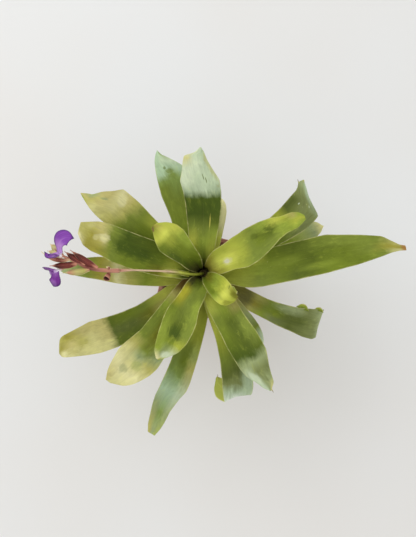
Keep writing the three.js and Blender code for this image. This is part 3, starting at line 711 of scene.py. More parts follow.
ROUND_END = [(0.7, 1), (0.8, 0.94), (0.88, 0.75), (0.95, 0.42), (1, 0)]
print("leaves:", len(LEAVES), "with margins of their own:", sum(bool(row[2]) for row in LEAVES))

# %% [markdown]
# The tones of each leaf name palette colours and the share of the length where they lie. They were
# placed one by one, because no rule says how a single leaf has aged. A few stops are painted light
# and shade: the near-black tank at the feet of some leaves is partly painted shade, and glow and
# linen lift a few parts that lie in shade. Spots are scars and worn patches, and on leaves 4 and 5
# painted highlights and sheen: share along, place across from -1 on the right to 1 on the left, half
# length, half width, colour and strength.

# %% Leaf tones
LOOKS = {
    1: {
        "middle": "ochre .2, olive .42, fern .6, lime .78, bright .87, lime .97",
        "right": "shade .28, leaf .5, leaf .72, fern .8, bright .9, lime .97",
        "left": "lime .25, olive .36, fern .5, lime .72, bright .8, olive .92",
        "spots": [(0.86, 0.1, 0.07, 0.5, "glow", 0.4), (0.95, -0.6, 0.04, 0.5, "olive", 0.5)],
        "tip": ("brown_tip", 0.985),
    },
    2: {
        "middle": "tank .25, shade .4, leaf .52, leaf .66, lime .8, glow .87, ochre .97",
        "right": "shade .3, leaf .42, fern .6, fern .74, bright .84, lime .95",
        "left": "tank .34, shade .48, shade .66, leaf .79, bright .86, lime .91, olive .98",
        "spots": [(0.97, 0.9, 0.03, 0.2, "brown_tip", 0.9), (0.5, 0.75, 0.2, 0.25, "deep", 0.5)],
    },
    3: {
        "middle": (
            "tank .14, shade .25, moss .32, moss .5, shade .7, "
            "deep .76, leaf .84, sage .93, linen .98"
        ),
        "right": "tank .28, mustard .37, mustard .44, leaf .57, fern .8, fern .91, linen .97",
        "left": "moss .25, fern .3, moss .4, fern .5, moss .75, lime .84, ice .92, lime .98",
        "spots": [(0.75, -0.1, 0.06, 0.4, "deep", 0.7), (0.93, 0.4, 0.035, 0.5, "ice", 0.75)],
    },
    4: {
        # painted highlight: the glow stop near the foot of the middle ramp
        "middle": (
            "ochre .17, glow .27, bright .4, lime .5, moss .58, "
            "leaf .64, shade .75, fern .81, fern .86, lime .93"
        ),
        "right": "ochre .22, bright .34, lime .43, moss .56, moss .72, fern .92",
        "left": (
            "ochre .2, lime .3, lime .48, moss .62, fern .71, "
            "bright .79, lime .86, khaki .92, fern .97"
        ),
        "spots": [
            # painted highlight: these three spots, glow, cream and white, paint a soft highlight near the
            # foot
            (0.36, -0.2, 0.09, 0.55, "glow", 0.6),
            (0.355, -0.22, 0.045, 0.3, "cream", 0.6),
            (0.35, -0.22, 0.025, 0.18, "white", 0.4),
            (0.74, 0.3, 0.04, 0.3, "deep", 0.6),
            (0.62, 0.35, 0.03, 0.2, "shade", 0.6),
        ],
    },
    5: {
        "middle": (
            "tank .13, shade .23, lime .32, leaf .4, deep .52, "
            "deep .71, moss .77, tan .81, ochre .89, khaki .97"
        ),
        "right": "shade .5, deep .68, moss .76, tan .85, khaki .91, khaki .97",
        "left": (
            "tank .17, shade .24, glow .33, olive .42, leaf .52, "
            "leaf .66, moss .74, ochre .84, ochre .91, linen .98"
        ),
        # painted sheen: the linen spots paint a pale shiny patch
        "spots": [
            (0.81, -0.08, 0.035, 0.3, "linen", 0.8),
            (0.86, 0.05, 0.02, 0.2, "linen", 0.4),
            (0.91, -0.75, 0.03, 0.3, "linen", 0.2),
        ],
        "tip": ("straw", 0.985),
    },
    6: {
        "middle": "lime .33, fern .42, shade .52, shade .66, deep .76, sage .8, dull .86, sage .97",
        # painted light: glow at the foot of the right side lifts the shade that leaf 1 casts there
        "right": "glow .32, moss .46, leaf .58, deep .74, sage .8, mint .88, mint .97",
        "left": "khaki .44, moss .5, moss .64, shade .73, sage .79, dull .85, sage .92, straw .98",
        "spots": [(0.89, -0.6, 0.05, 0.3, "ice", 0.6), (0.89, 0.3, 0.05, 0.12, "dull", 0.4)],
    },
    7: {
        "middle": (
            "tank .1, shade .2, fern .34, moss .42, deep .53, "
            "deep .645, mint .7, mint .79, ice .88, mint .97"
        ),
        "right": (
            "lime .28, fern .4, shade .48, deep .55, deep .65, "
            "grey_mint .71, mint .77, mint .88, grey_mint .95"
        ),
        "left": (
            "lime .3, bright .37, moss .46, deep .54, deep .655, "
            "grey_mint .7, ice .76, ice .85, straw .92, ice .98"
        ),
        "spots": [
            (0.77, -0.32, 0.025, 0.03, "slate", 0.8),
            (0.79, -0.22, 0.02, 0.03, "slate", 0.8),
            (0.48, -0.4, 0.06, 0.035, "crack", 0.7),
            (0.86, -0.9, 0.12, 0.2, "khaki", 0.5),
        ],
    },
    8: {
        "middle": "olive .6, moss .7, sage .75, straw .81, linen .87, straw .97",
        "right": (
            "bark .25, khaki .33, fern .41, moss .5, moss .64, "
            "khaki .7, straw .75, linen .83, tan .95"
        ),
        "left": "moss .64, sage .7, khaki .77, linen .86, straw .97",
        "spots": [(0.86, -0.2, 0.03, 0.3, "sage", 0.4), (0.8, 0.2, 0.03, 0.3, "pale_fern", 0.5)],
    },
    9: {
        "middle": "lime .25, fern .34, leaf .45, shade .58, leaf .72, moss .83, ochre .93",
        "right": "lime .2, moss .33, leaf .44, shade .5, leaf .65, leaf .8, moss .9, straw .96",
        "left": "bright .33, leaf .39, shade .5, moss .7, moss .86, khaki .95",
        "spots": [(0.46, 0.1, 0.08, 0.25, "fern", 0.35), (0.6, -0.5, 0.1, 0.2, "fern", 0.3)],
        "tip": ("orange_tip", 0.96),
    },
    10: {
        "middle": (
            "tank .12, shade .22, leaf .36, leaf .56, moss .65, "
            "khaki .7, straw .76, tan .85, khaki .91, tan .97"
        ),
        "right": "lime .5, moss .6, khaki .68, tan .71, linen .76, tan .81, tan .86, sage .91, khaki .98",
        "left": (
            "tank .12, leaf .3, deep .46, shade .6, leaf .68, "
            "khaki .75, straw .86, khaki .92, fern .97"
        ),
        "spots": [(0.74, -0.45, 0.03, 0.35, "linen", 0.8), (0.84, -0.3, 0.03, 0.12, "sage", 0.7)],
    },
    11: {
        "middle": "moss .55, slate .66, dull .74, grey_mint .78, frost .83, mint .87, sage .93",
        "right": "glow .36, lime .5, moss .6, slate .7, dull .75, grey_mint .79, frost .84, grey_mint .94",
        "left": "moss .5, slate .6, grey_mint .7, grey_mint .78, mint .84, sage .92",
    },
    12: {
        "middle": "leaf .5, moss .76, dull .84, dull .9, sage .97",
        "right": "leaf .6, dull .75, dull .85, grey_mint .93",
        "left": "moss .66, lime .7, slate .77, slate .84, dull .92, sage .97",
        "spots": [(0.85, 0.35, 0.008, 0.04, "ice", 0.9), (0.88, -0.3, 0.008, 0.04, "ice", 0.9)],
        "tip": ("khaki", 0.985),
    },
    13: {
        "middle": "bright .3, fern .42, khaki .54, linen .6, khaki .64, ochre .7, moss .78, sage .97",
        "spots": [(0.6, 0.6, 0.02, 0.3, "linen", 0.8)],
    },
    14: {
        "middle": "khaki .5, sage .68, moss .8, sage .95",
        "left": "khaki .5, sage .68, moss .8, grey_mint .87, mint .94",
    },
    15: {
        "middle": (
            "tank .07, leaf .2, fern .42, moss .6, cool_green .73, "
            "cool_green .79, cool_mint .84, mint .9, cool_mint .97"
        ),
        "left": "fern .45, moss .62, moss .7, cool_green .75, cool_mint .8, cool_mint .97",
        "right": "cool_green .74, cool_mint .8, mint .88, cool_green .98",
        "spots": [(0.81, 0.05, 0.02, 0.3, "leaf", 0.6), (0.84, 0.25, 0.012, 0.12, "shade", 0.7)],
    },
    16: {
        "middle": (
            "bright .34, lime .4, moss .48, leaf .56, "
            "cool_green .65, cool_mint .74, cool_green .86, sage .97"
        ),
        "right": "moss .5, cool_green .62, cool_mint .74, sage .82, khaki .96",
        "left": "lime .42, pale_fern .52, khaki .6, mint .75, sage .86, pale_fern .97",
    },
    17: {"middle": "fern .7, pale_fern .8, sage .88, straw .97"},
    18: {
        "middle": (
            "khaki .32, olive .4, slate .5, slate .62, tan .655, "
            "straw .74, khaki .81, tan .87, ochre .93"
        ),
        # painted light: glow near the foot of the right side lifts a shaded part
        "right": "glow .28, moss .4, leaf .5, shade .62, tan .66, tan .78, ochre .87, khaki .97",
        "left": "shade .45, shade .62, straw .665, straw .77, straw .86, linen .92, khaki .98",
        "spots": [(0.79, 0.1, 0.02, 0.2, "khaki", 0.7), (0.87, 0.6, 0.05, 0.2, "ochre", 0.3)],
    },
    19: {
        "middle": (
            "drab .35, drab .41, ochre .47, moss .55, leaf .64, "
            "slate .72, slate .82, dull .94, sage 1"
        ),
        "right": "drab .4, khaki .46, fern .54, dull .62, slate .75, dull .94, sage 1",
        "left": "ochre .26, drab .4, khaki .48, moss .58, sage .68, sage .78, dull .86, sage .98",
    },
    # painted light: glow and linen on the right side of leaf 20 lift a part that lies in shade
    20: {"middle": "moss .6, moss .95", "right": "glow .5, linen .62, linen .93"},
}
BACKS = {3: "pale", 11: "fern", 15: "pale"}
print("looks:", len(LOOKS))

# %% [markdown]
# One function grows a leaf from its row. Round the tank its section follows the tank's wall, and
# further out it keeps a shallow cup of its own. Slow noise lets the margin wander and wave a little,
# as it does on a leaf that has grown between its neighbours. A simulation of soft leaves would give
# waves too, but not these ones in these places.

# %% Leaves
LEAF_ROWS = 84
LEAF_ACROSS = 22
HOOK_START, HOOK_UNTIL = 0.79, 0.9
MARGIN_STEPS = 800
CORNER_ROUNDING = 23
TANK_EDGE = (10, 30)
OPEN_BLADE = (18, 45)


def soft_min(a, b):
    """The smaller of two widths, with a soft change between them."""
    return a * b / (a**4 + b**4) ** 0.25


def leaf_rib(leaf):
    """The midrib of a leaf, from its foot on the stem."""
    base = INNER_RADIUS + leaf["level"] * LEVEL_STEP
    turn = math.radians(leaf["heading"])
    foot = (base * math.cos(turn), base * math.sin(turn), STEM_TOP - leaf["level"] * LEVEL_DROP)
    length, bend, start = leaf["length"], leaf["bend"], leaf["start"] * leaf["length"]

    def rise(s):
        opened = (90 - leaf["rise"]) * ease(UPRIGHT, UPRIGHT + bend, s)
        arched = leaf["arch"] * ease(UPRIGHT + bend / 2, start, s)
        return 90 - opened - arched - leaf["droop"] * ease(start, leaf["until"] * length, s)

    def heading(s):
        hooked = leaf["hook"] * ease(HOOK_START * length, HOOK_UNTIL * length, s)
        return leaf["heading"] + leaf["sweep"] * ease(0.1 * length, length, s) + hooked

    return make_rib(foot, length, LEAF_ROWS, rise, heading, steady(0))


def margin_lines(leaf, t):
    """Distances from the midrib to the left and the right margin, with their corners rounded."""
    half = leaf["width"] / 2
    rows = leaf["margins"] or [(share, half * part, half * part) for share, part in ROUND_END]
    shares, left, right = zip(*rows)
    fine = np.linspace(0, 1, MARGIN_STEPS + 1)
    kernel = np.hanning(CORNER_ROUNDING)
    rounded = []
    for line in (left, right):
        padded = np.pad(np.interp(fine, shares, line), CORNER_ROUNDING // 2, "edge")
        smooth = np.convolve(padded, kernel / kernel.sum(), "valid")
        rounded.append(np.interp(t, fine, smooth))
    return rounded


def grow_leaf(level, columns, extras, margins):
    number = level + 1
    name = f"leaf_{number:02d}"
    leaf = {**LEAF_USUAL, **dict(zip(LEAF_COLUMNS, columns)), **extras}
    leaf |= {"level": level, "margins": margins}
    rib = leaf_rib(leaf)
    t, s = rib["t"], rib["s"]
    reach = np.hypot(rib["points"][:, 0], rib["points"][:, 1])
    reach = np.maximum(INNER_RADIUS + level * LEVEL_STEP, reach)
    left, right = margin_lines(leaf, t)
    wrap = np.radians(WRAP + (WRAP_OUT - WRAP) * ease(*TANK_EDGE, reach))
    wander = np.array([noise.noise(Vector((x / 17, level * 3.7, 0))) for x in s])
    free = np.maximum(LEAST_HALF, (left + right) / 2 * (1 + 0.02 * wander * ease(0.3, 0.5, t)))
    half = np.maximum(LEAST_HALF, soft_min(free, reach * wrap))
    cone = np.maximum(0, rib["along"][:, 2]) / reach
    cup = leaf["cup"] / (leaf["width"] / 2) * (1 - 0.7 * ease(0.6, 1, t))
    free_share = ease(*OPEN_BLADE, reach)
    bow = cone * (1 - free_share) + cup * free_share

    def ripple(rib, v):
        opened = ease(0.35, 0.6, t)[:, None]
        wave = leaf["wave"] * np.outer(np.sin(s / 7 + level), v * np.abs(v)) * opened
        frill = [[noise.noise(Vector((x / 9, y * 1.3, level * 5.1))) for y in v] for x in s]
        return wave + 0.45 * np.array(frill) * np.abs(v)[None, :] ** 1.5 * opened

    skins = (leaf_finish(f"{name}_face", LOOKS[number], number), BACK_FINISHES[BACKS.get(number, "grey")])
    shift = (left - right) / 2 * free_share
    blade = span_blade(f"{name}_blade", rib, half, bow, LEAF_THICK, LEAF_ACROSS, skins, shift, ripple)
    leaf_lines[number] = {"rib": rib, "half": half, "bow": bow, "shift": shift}
    return place(blade, "leaf", name)


leaf_lines = {}
leaves = [grow_leaf(level, *row) for level, row in enumerate(LEAVES)]
print("leaf triangles:", sum(len(leaf.data.polygons) * 2 for leaf in leaves))

# %% [markdown]
# The flower stalk climbs out of the tank and leans over the leaves to the left. A rib of angles
# could draw it too, but its tip would then be hard to aim, so its line is one smooth curve through
# a few points. Stalk, sheath and bracts all take their place along it by a share of its length, as
# they grow on the real plant.

# %% Scape line
SCAPE_POINTS = np.array(
    [
        (0, 0, 88), (0, 0, 98), (-1.6, -1, 108), (-6.5, -2.4, 117.5), (-14, -2.4, 125),
        (-24, -1.2, 132), (-48, -1, 144), (-65, -1, 149), (-79, -1.8, 153), (-95, -0.7, 157),
        (-103, 1.8, 159.5), (-110, 5.5, 162), (-119, 9.5, 165.5), (-127, 12, 168),
    ],
    float,
)  # fmt: skip
SPIKE_START = 0.64
SCAPE_RADIUS = 1.4
TANGENT_STEP = 0.004


def through(points, steps=60):
    """A smooth curve through points, sampled finely. Uneven gaps don't make it bulge."""
    padded = np.vstack([2 * points[0] - points[1], points, 2 * points[-1] - points[-2]])
    pieces = []
    for p0, p1, p2, p3 in zip(padded, padded[1:], padded[2:], padded[3:]):
        d0, d1, d2 = (np.linalg.norm(b - a) ** 0.5 for a, b in ((p0, p1), (p1, p2), (p2, p3)))
        m1 = ((p1 - p0) / d0 - (p2 - p0) / (d0 + d1) + (p2 - p1) / d1) * d1
        m2 = ((p2 - p1) / d1 - (p3 - p1) / (d1 + d2) + (p3 - p2) / d2) * d1
        u = np.linspace(0, 1, steps, endpoint=False)[:, None]
        square, cube = 3 * (p2 - p1) - 2 * m1 - m2, 2 * (p1 - p2) + m1 + m2
        pieces.append(p1 + m1 * u + square * u**2 + cube * u**3)
    return np.vstack([*pieces, points[-1]])


scape_path = through(SCAPE_POINTS)
scape_steps = np.linalg.norm(np.diff(scape_path, axis=0), axis=1)
scape_share = np.concatenate([[0], np.cumsum(scape_steps)]) / scape_steps.sum()


def scape_at(shares):
    """Points at given shares of the line, which np.interp holds between its two ends."""
    return np.stack([np.interp(shares, scape_share, scape_path[:, k]) for k in range(3)], axis=-1)


def scape_rib(shares):
    """Stations at given shares of the scape's line."""
    shares = np.asarray(shares, float)
    along = scape_at(shares + TANGENT_STEP) - scape_at(shares - TANGENT_STEP)
    along /= np.linalg.norm(along, axis=1)[:, None]
    side = np.array([0.0, -1.0, 0.0]) + along * along[:, 1:2]
    side /= np.linalg.norm(side, axis=1)[:, None]
    t = (shares - shares[0]) / (shares[-1] - shares[0])
    s = t * scape_steps.sum() * (shares[-1] - shares[0])
    up = -np.cross(side, along)
    return {"t": t, "s": s, "points": scape_at(shares), "along": along, "side": side, "up": up}


print("scape length:", round(float(scape_steps.sum()), 1), "mm")

# %% [markdown]
# Stalks and buds are lofts: rings of points along a rib, closed at both ends. A curve with a bevel
# would be quicker, but it could not swell into three keels or flatten as a bud does. They get the
# same two sets of coordinates as the blades, so that one kind of finish serves the whole spike.

# %% Loft helper
LOFT_MARGIN = 0.9


def loft_faces(rows, sides):
    """Walls between the rings and a fan of triangles at both ends."""
    foot, top = rows * sides, rows * sides + 1
    faces = []
    for k in range(sides):
        after = (k + 1) % sides
        faces.append((foot, after, k))
        faces.append((top, (rows - 1) * sides + k, (rows - 1) * sides + after))
        for i in range(rows - 1):
            a, b = i * sides + k, i * sides + after
            faces.append((a, b, b + sides, a + sides))
    return faces


def loft(name, rib, radii, sides, materials, flatten=1.0, lift=0.0, lobes=0.0):
    """A closed body of rings round a rib. radii holds one radius for each station."""
    turn = np.linspace(0, 2 * math.pi, sides, endpoint=False)
    swell = 1 + lobes * np.cos(3 * turn)
    x = np.outer(radii, np.cos(turn) * swell)
    y = np.outer(radii, np.sin(turn) * swell) * flatten + lift * np.asarray(radii)[:, None]
    grid = lay_out(rib, x, y)
    points = np.vstack([grid.reshape(-1, 3), grid[0].mean(axis=0), grid[-1].mean(axis=0)])
    piece = mesh_object(name, points, loft_faces(len(rib["t"]), sides), materials)
    bm = bmesh.new()
    bm.from_mesh(piece.data)
    bmesh.ops.recalc_face_normals(bm, faces=bm.faces)
    bm.to_mesh(piece.data)
    bm.free()
    round_share = np.abs(np.linspace(-1, 1, sides, endpoint=False)) * LOFT_MARGIN
    shares = pair_up(round_share[None, :], rib["t"])
    millimetres = pair_up(turn[None, :] * float(np.max(radii)), rib["s"])
    ends = [[0, 0], [0, float(rib["s"][-1])]]
    write_coordinates(piece.data, [shares, [[0.5, 0], [0.5, 1]]], [millimetres, ends])
    return piece


def join(name, pieces):
    """Makes one object of several."""
    with bpy.context.temp_override(active_object=pieces[0], selected_editable_objects=pieces):
        bpy.ops.object.join()
    pieces[0].name = pieces[0].data.name = name
    return pieces[0]


print("a loft of 3 rings of 4 points has", len(loft_faces(3, 4)), "faces")

# %% [markdown]
# Some old leaves end in a dry brown point. The margin of one has torn into two flaps that curl up,
# and the innermost leaf ends in a folded corner. The leaf's own grid is too coarse for them, so
# they are small blades and lofts that start on the leaf and are joined to it.

# %% Points and flaps of the leaves
GROWTH_COLUMNS = ("leaf", "along", "across", "heading", "rise", "length", "width", "curl")
POINTS = [
    (6, 0.995, 0.9, -58, -5, 3.5, 1, 20),
    (11, 0.99, 0.45, 94, 12, 4.5, 1, 20),
    (12, 0.955, 0.9, 112, 15, 4, 1, 20),
]
FLAPS = [
    (19, 0.81, 0.9, 68, 0, 6.5, 12, 80),
    (19, 0.93, 0.9, 68, 0, 4.5, 9, 80),
    (1, 0.85, 0.5, -14, -14, 9, 9, -20),
]


def growth_rib(growth, count):
    """The rib of a growth, from its place on the blade."""
    lines = leaf_lines[growth["leaf"]]
    i = int(np.argmin(np.abs(lines["rib"]["t"] - growth["along"])))
    bow = lines["bow"][i] or LEAST_BOW
    angle = lines["half"][i] * bow * growth["across"]
    start = lines["rib"]["points"][i] + lines["rib"]["up"][i] * (1 - math.cos(angle)) / bow
    start = start + lines["rib"]["side"][i] * (math.sin(angle) / bow + lines["shift"][i])
    length = growth["length"]

    def rise(s):
        return growth["rise"] + growth["curl"] * ease(0.2 * length, length, s)

    return make_rib(start, length, count, rise, steady(growth["heading"]), steady(0))


def add_to_leaf(number, piece):
    blade = leaves[number - 1]
    return join(blade.name, [blade, piece])


point_finish = leaf_finish("leaf_point", {"middle": "khaki .1, ochre .3, brown_tip .6, bark 1"}, 45)
for row in POINTS:
    growth = dict(zip(GROWTH_COLUMNS, row))
    rib = growth_rib(growth, 10)
    radii = growth["width"] / 2 * (1 - 0.75 * rib["t"])
    add_to_leaf(growth["leaf"], loft(f"point_{growth['leaf']}", rib, radii, 10, (point_finish,)))

flap_finish = leaf_finish("leaf_flap", {"middle": "moss .1, fern .5, lime .85, straw 1"}, 46)
flap_skins = (flap_finish, BACK_FINISHES["fern"])
for number, row in enumerate(FLAPS, 1):
    growth = dict(zip(GROWTH_COLUMNS, row))
    rib = growth_rib(growth, 12)
    t = rib["t"]
    half = growth["width"] / 2 * (1 - 0.7 * ease(0.3, 1, t)) * (1 + 0.15 * np.sin(9 * t + number))
    bow = np.full(len(t), math.radians(growth["curl"]) / growth["width"])
    add_to_leaf(growth["leaf"], span_blade(f"flap_{number}", rib, half, bow, LEAF_THICK, 10, flap_skins))
print("points:", len(POINTS), "flaps:", len(FLAPS))

# %% [markdown]
# The scape is thin, pinkish and finely ribbed, greener towards its foot. A plain cylinder would be
# straight and even, so it is a loft along its line, a little thinner where nothing clasps it.

# %% Scape
def stalk_finish(name, tones, seed):
    finish = Finish(name, Roughness=0.5, Specular_IOR_Level=0.45)
    layer = blade_layers(finish, seed)
    colour = finish.ramp(read_tones(tones), stray(layer, layer["along"], streaks=0.2))
    colour = finish.brighten(colour, stray(layer, 1, veins=0.8, mottle=0.8))
    relief = layer["veins"] + layer["grain"] * 0.3
    return finish.dress(colour, 0.42 + layer["veins"] * 0.15, relief, 0.0003, 0.6)


SCAPE_TONES = "lime .38, bright .46, scape_pale .6, scape_pale .85, scape 1"
scape_finish = stalk_finish("scape_skin", SCAPE_TONES, 51)
scape_shares = np.linspace(0, SPIKE_START, 70)
thinness = ease(0.3, 0.42, scape_shares) - ease(0.56, SPIKE_START, scape_shares)
scape = loft("scape_stalk", scape_rib(scape_shares), SCAPE_RADIUS - 0.6 * thinness, 14, (scape_finish,))
place(scape, "scape", "scape")
print("scape faces:", len(scape.data.polygons))

# %% [markdown]
# The sheath round the foot of the scape is a yellow-green leaf rolled to a half tube. A tube cut in
# half would have no tip, so it is a blade like the leaves, bowed to a radius just over the stalk's.

# %% Sheath of the scape
BRACT_THICK = 0.8
SHEATH_CLEARANCE = 0.45
SHEATH_RADIUS = SCAPE_RADIUS + SHEATH_CLEARANCE + BRACT_THICK / 2
SHEATH_START, SHEATH_SHARE = 0.235, 0.19
sheath_rib = scape_rib(SHEATH_START + SHEATH_SHARE * station_shares(40))
sheath_half = np.maximum(0.4, 1.35 * SHEATH_RADIUS * (1 - ease(0.55, 1, sheath_rib["t"]) ** 2))
sheath_bow = np.full_like(sheath_half, 1 / SHEATH_RADIUS)
sheath_finish = leaf_finish("scape_bract_skin", {"middle": "lime .1, bright .5, tan .9"}, 52)
sheath_skins = (sheath_finish, BACK_FINISHES["grey"])


def lowered(rib, v):
    """Brings the middle of the sheath down onto the line of the scape."""
    return np.full((len(rib["t"]), len(v)), -SHEATH_RADIUS)


sheath = span_blade(
    "scape_sheath", sheath_rib, sheath_half, sheath_bow, BRACT_THICK, 14, sheath_skins, ripple=lowered
)
place(sheath, "scape_bract", "scape_bract")
print("sheath length:", round(float(sheath_rib["s"][-1]), 1), "mm")

# %% [markdown]
# The bracts of the spike are dark red-brown with paler, pinkish margins, and towards the tip they
# turn cream. One finish with other tones serves them all: the ramp runs from foot to tip, the
# margin has its own colour, and the keel down the middle catches a little more light.

# %% Bract finishes
def bract_finish(name, tones, seed, margin_colour):
    finish = Finish(name, Roughness=0.5, Specular_IOR_Level=0.25)
    layer = blade_layers(finish, seed)
    colour = finish.ramp(read_tones(tones), stray(layer, layer["along"], streaks=0.25))
    margin = stray(layer, layer["inward"], streaks=1.4).ease(1.1, 0.3)
    colour = finish.mix(margin * 0.8, colour, tint(margin_colour))
    keel = 1.15 - layer["across"].size().ease(0.1, 0.7) * 0.3
    colour = finish.brighten(colour, stray(layer, keel, veins=0.7, blotches=0.6))
    relief = layer["veins"] + layer["grain"] * 0.3
    return finish.dress(colour, 0.4 + layer["veins"] * 0.15, relief, 0.0003, 0.7)


SPIKE_TONES = {
    "bract_red": ("bract_pink .04, bract .2, bract .5, bract_dark .8, bract .97", 61, "bract_pink"),
    "bract_green": ("scape .02, bract_green .25, tan .5, bract_pink .78, bract .98", 62, "straw"),
    "bract_pink": ("bract_pink .05, bract .35, bract_pink .7, bud_cream .97", 63, "bud_cream"),
    "bract_tip": ("bract_pink .1, bud_cream .4, straw .7, bract_pink .95", 65, "bud_cream"),
    "bud_red": ("bract .1, bract_dark .35, bract_dark .7, bract .9", 64, "bract"),
    "bud_tip": ("bract .15, bract_pink .45, bud_cream .8", 66, "bract_pink"),
}
RACHIS_TONES = "scape .05, bract_pink .2, bract .45, bract_pink .7, scape .95"
spike_finishes = {name: bract_finish(name, *row) for name, row in SPIKE_TONES.items()}
rachis_finish = stalk_finish("rachis_skin", RACHIS_TONES, 50)
print("spike finishes:", list(spike_finishes))

# %% [markdown]
# The flowering end carries keeled bracts in two ranks, most with a closed bud inside. One bract
# could be repeated at even steps, but a spike like this opens unevenly, so each bract has a row of
# its own: its place on the line, its angles and sizes, and whether it holds a bud.

# %% Bracts and buds
BRACT_COLUMNS = ("at", "beside", "heading", "rise", "length", "width", "bud", "sweep", "look")
BUD_SPAN = (0.04, 0.92)
RACHIS_ROWS = 40
RACHIS_RADII = (2.0, 0.9)
BRACTS = [
    (0.69, -1, 150, 24, 5, 4, 0, 0, "pink"),
    (0.76, -1.2, 150, 18, 28.5, 7.4, 1, -8, "red"),
    (0.8, 1.2, 194, 10, 23, 7.6, 0, -10, "green"),
    (0.83, -1.2, 150, 18, 21, 7.6, 1, -8, "red"),
    (0.87, 1.2, 190, 10, 23, 7.4, 1, -8, "red"),
    (0.91, 0.6, 188, 10, 26, 5, 0, -46, "pink"),
    (0.95, -0.4, 164, 10, 14, 7.4, 1, 0, "tip"),
    (0.96, -1.6, 140, 12, 13, 8.5, 1, 0, "tip"),
]


def make_bud(name, rib, size, finish):
    """A closed bud in the hollow of its bract, between two shares of the bract's length."""
    start, until = BUD_SPAN
    keep = (rib["t"] > start) & (rib["t"] < until)
    inner = {key: value[keep] for key, value in rib.items()}
    inner["t"] = (inner["t"] - start) / (until - start)
    radii = np.maximum(0.3, size * np.sin(math.pi * inner["t"]) ** 0.6)
    return loft(name, inner, radii, 16, (finish,), flatten=0.85, lift=0.7, lobes=0.06)


def make_bract(number, row):
    """The pieces of one bract: its blade and, where it has one, its bud."""
    bract = dict(zip(BRACT_COLUMNS, row))
    foot = scape_rib([bract["at"], bract["at"] + 0.01])
    start = foot["points"][0] + foot["side"][0] * bract["beside"] + foot["up"][0]
    length, width = bract["length"], bract["width"]

    def rise(s):
        return bract["rise"] + 10 * ease(0, 0.3 * length, s) - 16 * ease(0.3 * length, length, s)

    def heading(s):
        return bract["heading"] + bract["sweep"] * ease(0, length, s)

    rib = make_rib(start, length, 28, rise, heading, steady(180))
    t = rib["t"]
    half = np.maximum(0.3, width / 2 * (0.45 + 0.55 * ease(0, 0.35, t)) * (1 - ease(0.4, 1, t) ** 1.5))
    bow = np.full(len(t), 2.6 / width)
    skin = spike_finishes[f"bract_{bract['look']}"]
    pieces = [span_blade(f"bract_{number}", rib, half, bow, BRACT_THICK, 12, (skin, skin))]
    if bract["bud"]:
        bud_skin = spike_finishes[f"bud_{bract['look']}"]
        pieces.append(make_bud(f"bud_{number}", rib, 0.3 * width, bud_skin))
    return pieces


rachis_shares = np.linspace(SPIKE_START + 0.004, 1, RACHIS_ROWS)
rachis_radii = np.linspace(*RACHIS_RADII, RACHIS_ROWS)
spike_pieces = [loft("rachis", scape_rib(rachis_shares), rachis_radii, 14, (rachis_finish,))]
for number, row in enumerate(BRACTS, 1):
    spike_pieces += make_bract(number, row)
spike = join("flower_spike", spike_pieces)
place(spike, "spike", "spike")
print("spike faces:", len(spike.data.polygons))

# %% [markdown]
# One flower is over: its bract has dried to a small flared cup, open and dark inside. A blade rolled
# up would leave a seam, so it is a loft whose profile runs up the outer wall, over the rim and down
# the inner wall.

# %% Spent bud
CUP_ROOT = (-81.2, -1.8, 153.2)
CUP_ROOT_RADIUS = 1.1
CUP_ROOT_LENGTH = 3
CUP_FOOT = np.array([-82.2, -4.5, 151.8])
CUP_FACING = Vector((-0.25, -0.75, 0.6)).normalized()
OUTER_WALL = [(0, 1.3), (0.9, 1.9), (2.2, 2.2), (4, 2.4), (5.6, 2.9)]
RIM_AND_INNER_WALL = [(6.2, 2.8), (5.6, 2.3), (4, 1.8), (2.4, 1.2)]
CUP_PROFILE = OUTER_WALL + RIM_AND_INNER_WALL
cup_steps = np.array([step for step, _ in CUP_PROFILE], float)
cup_radii = np.array([CUP_ROOT_RADIUS] + [radius for _, radius in CUP_PROFILE])
turned = np.array(CUP_FACING.to_track_quat("Z", "Y").to_matrix())
cup_points = np.vstack([CUP_ROOT, CUP_FOOT + cup_steps[:, None] * np.array(CUP_FACING)])
stations = len(cup_points)
cup_rib = {
    "t": np.linspace(0, 1, stations),
    "s": np.concatenate([[0], CUP_ROOT_LENGTH + cup_steps]),
    "points": cup_points,
    "side": np.tile(turned[:, 0], (stations, 1)),
    "up": np.tile(turned[:, 1], (stations, 1)),
}
CUP_TONES = "scape .1, bract .3, bract_pink .5, bract_pink .66, bract .74, bract_dark .9"
cup_finish = stalk_finish("spent_cup", CUP_TONES, 53)
cup = loft("spent_cup", cup_rib, cup_radii, 22, (cup_finish,), lobes=0.1)
place(cup, "spent_bud", "spent_bud")
print("cup mouth:", round(float(2 * cup_radii.max()), 1), "mm")

# %% [markdown]
# The petals are violet with a satin sheen, paler where they leave the throat and darker at the
# margin and in the fine veins. A single violet would look like paper, so the ramp, a pale ray down
# the middle and slow lilac patches are mixed over one another.

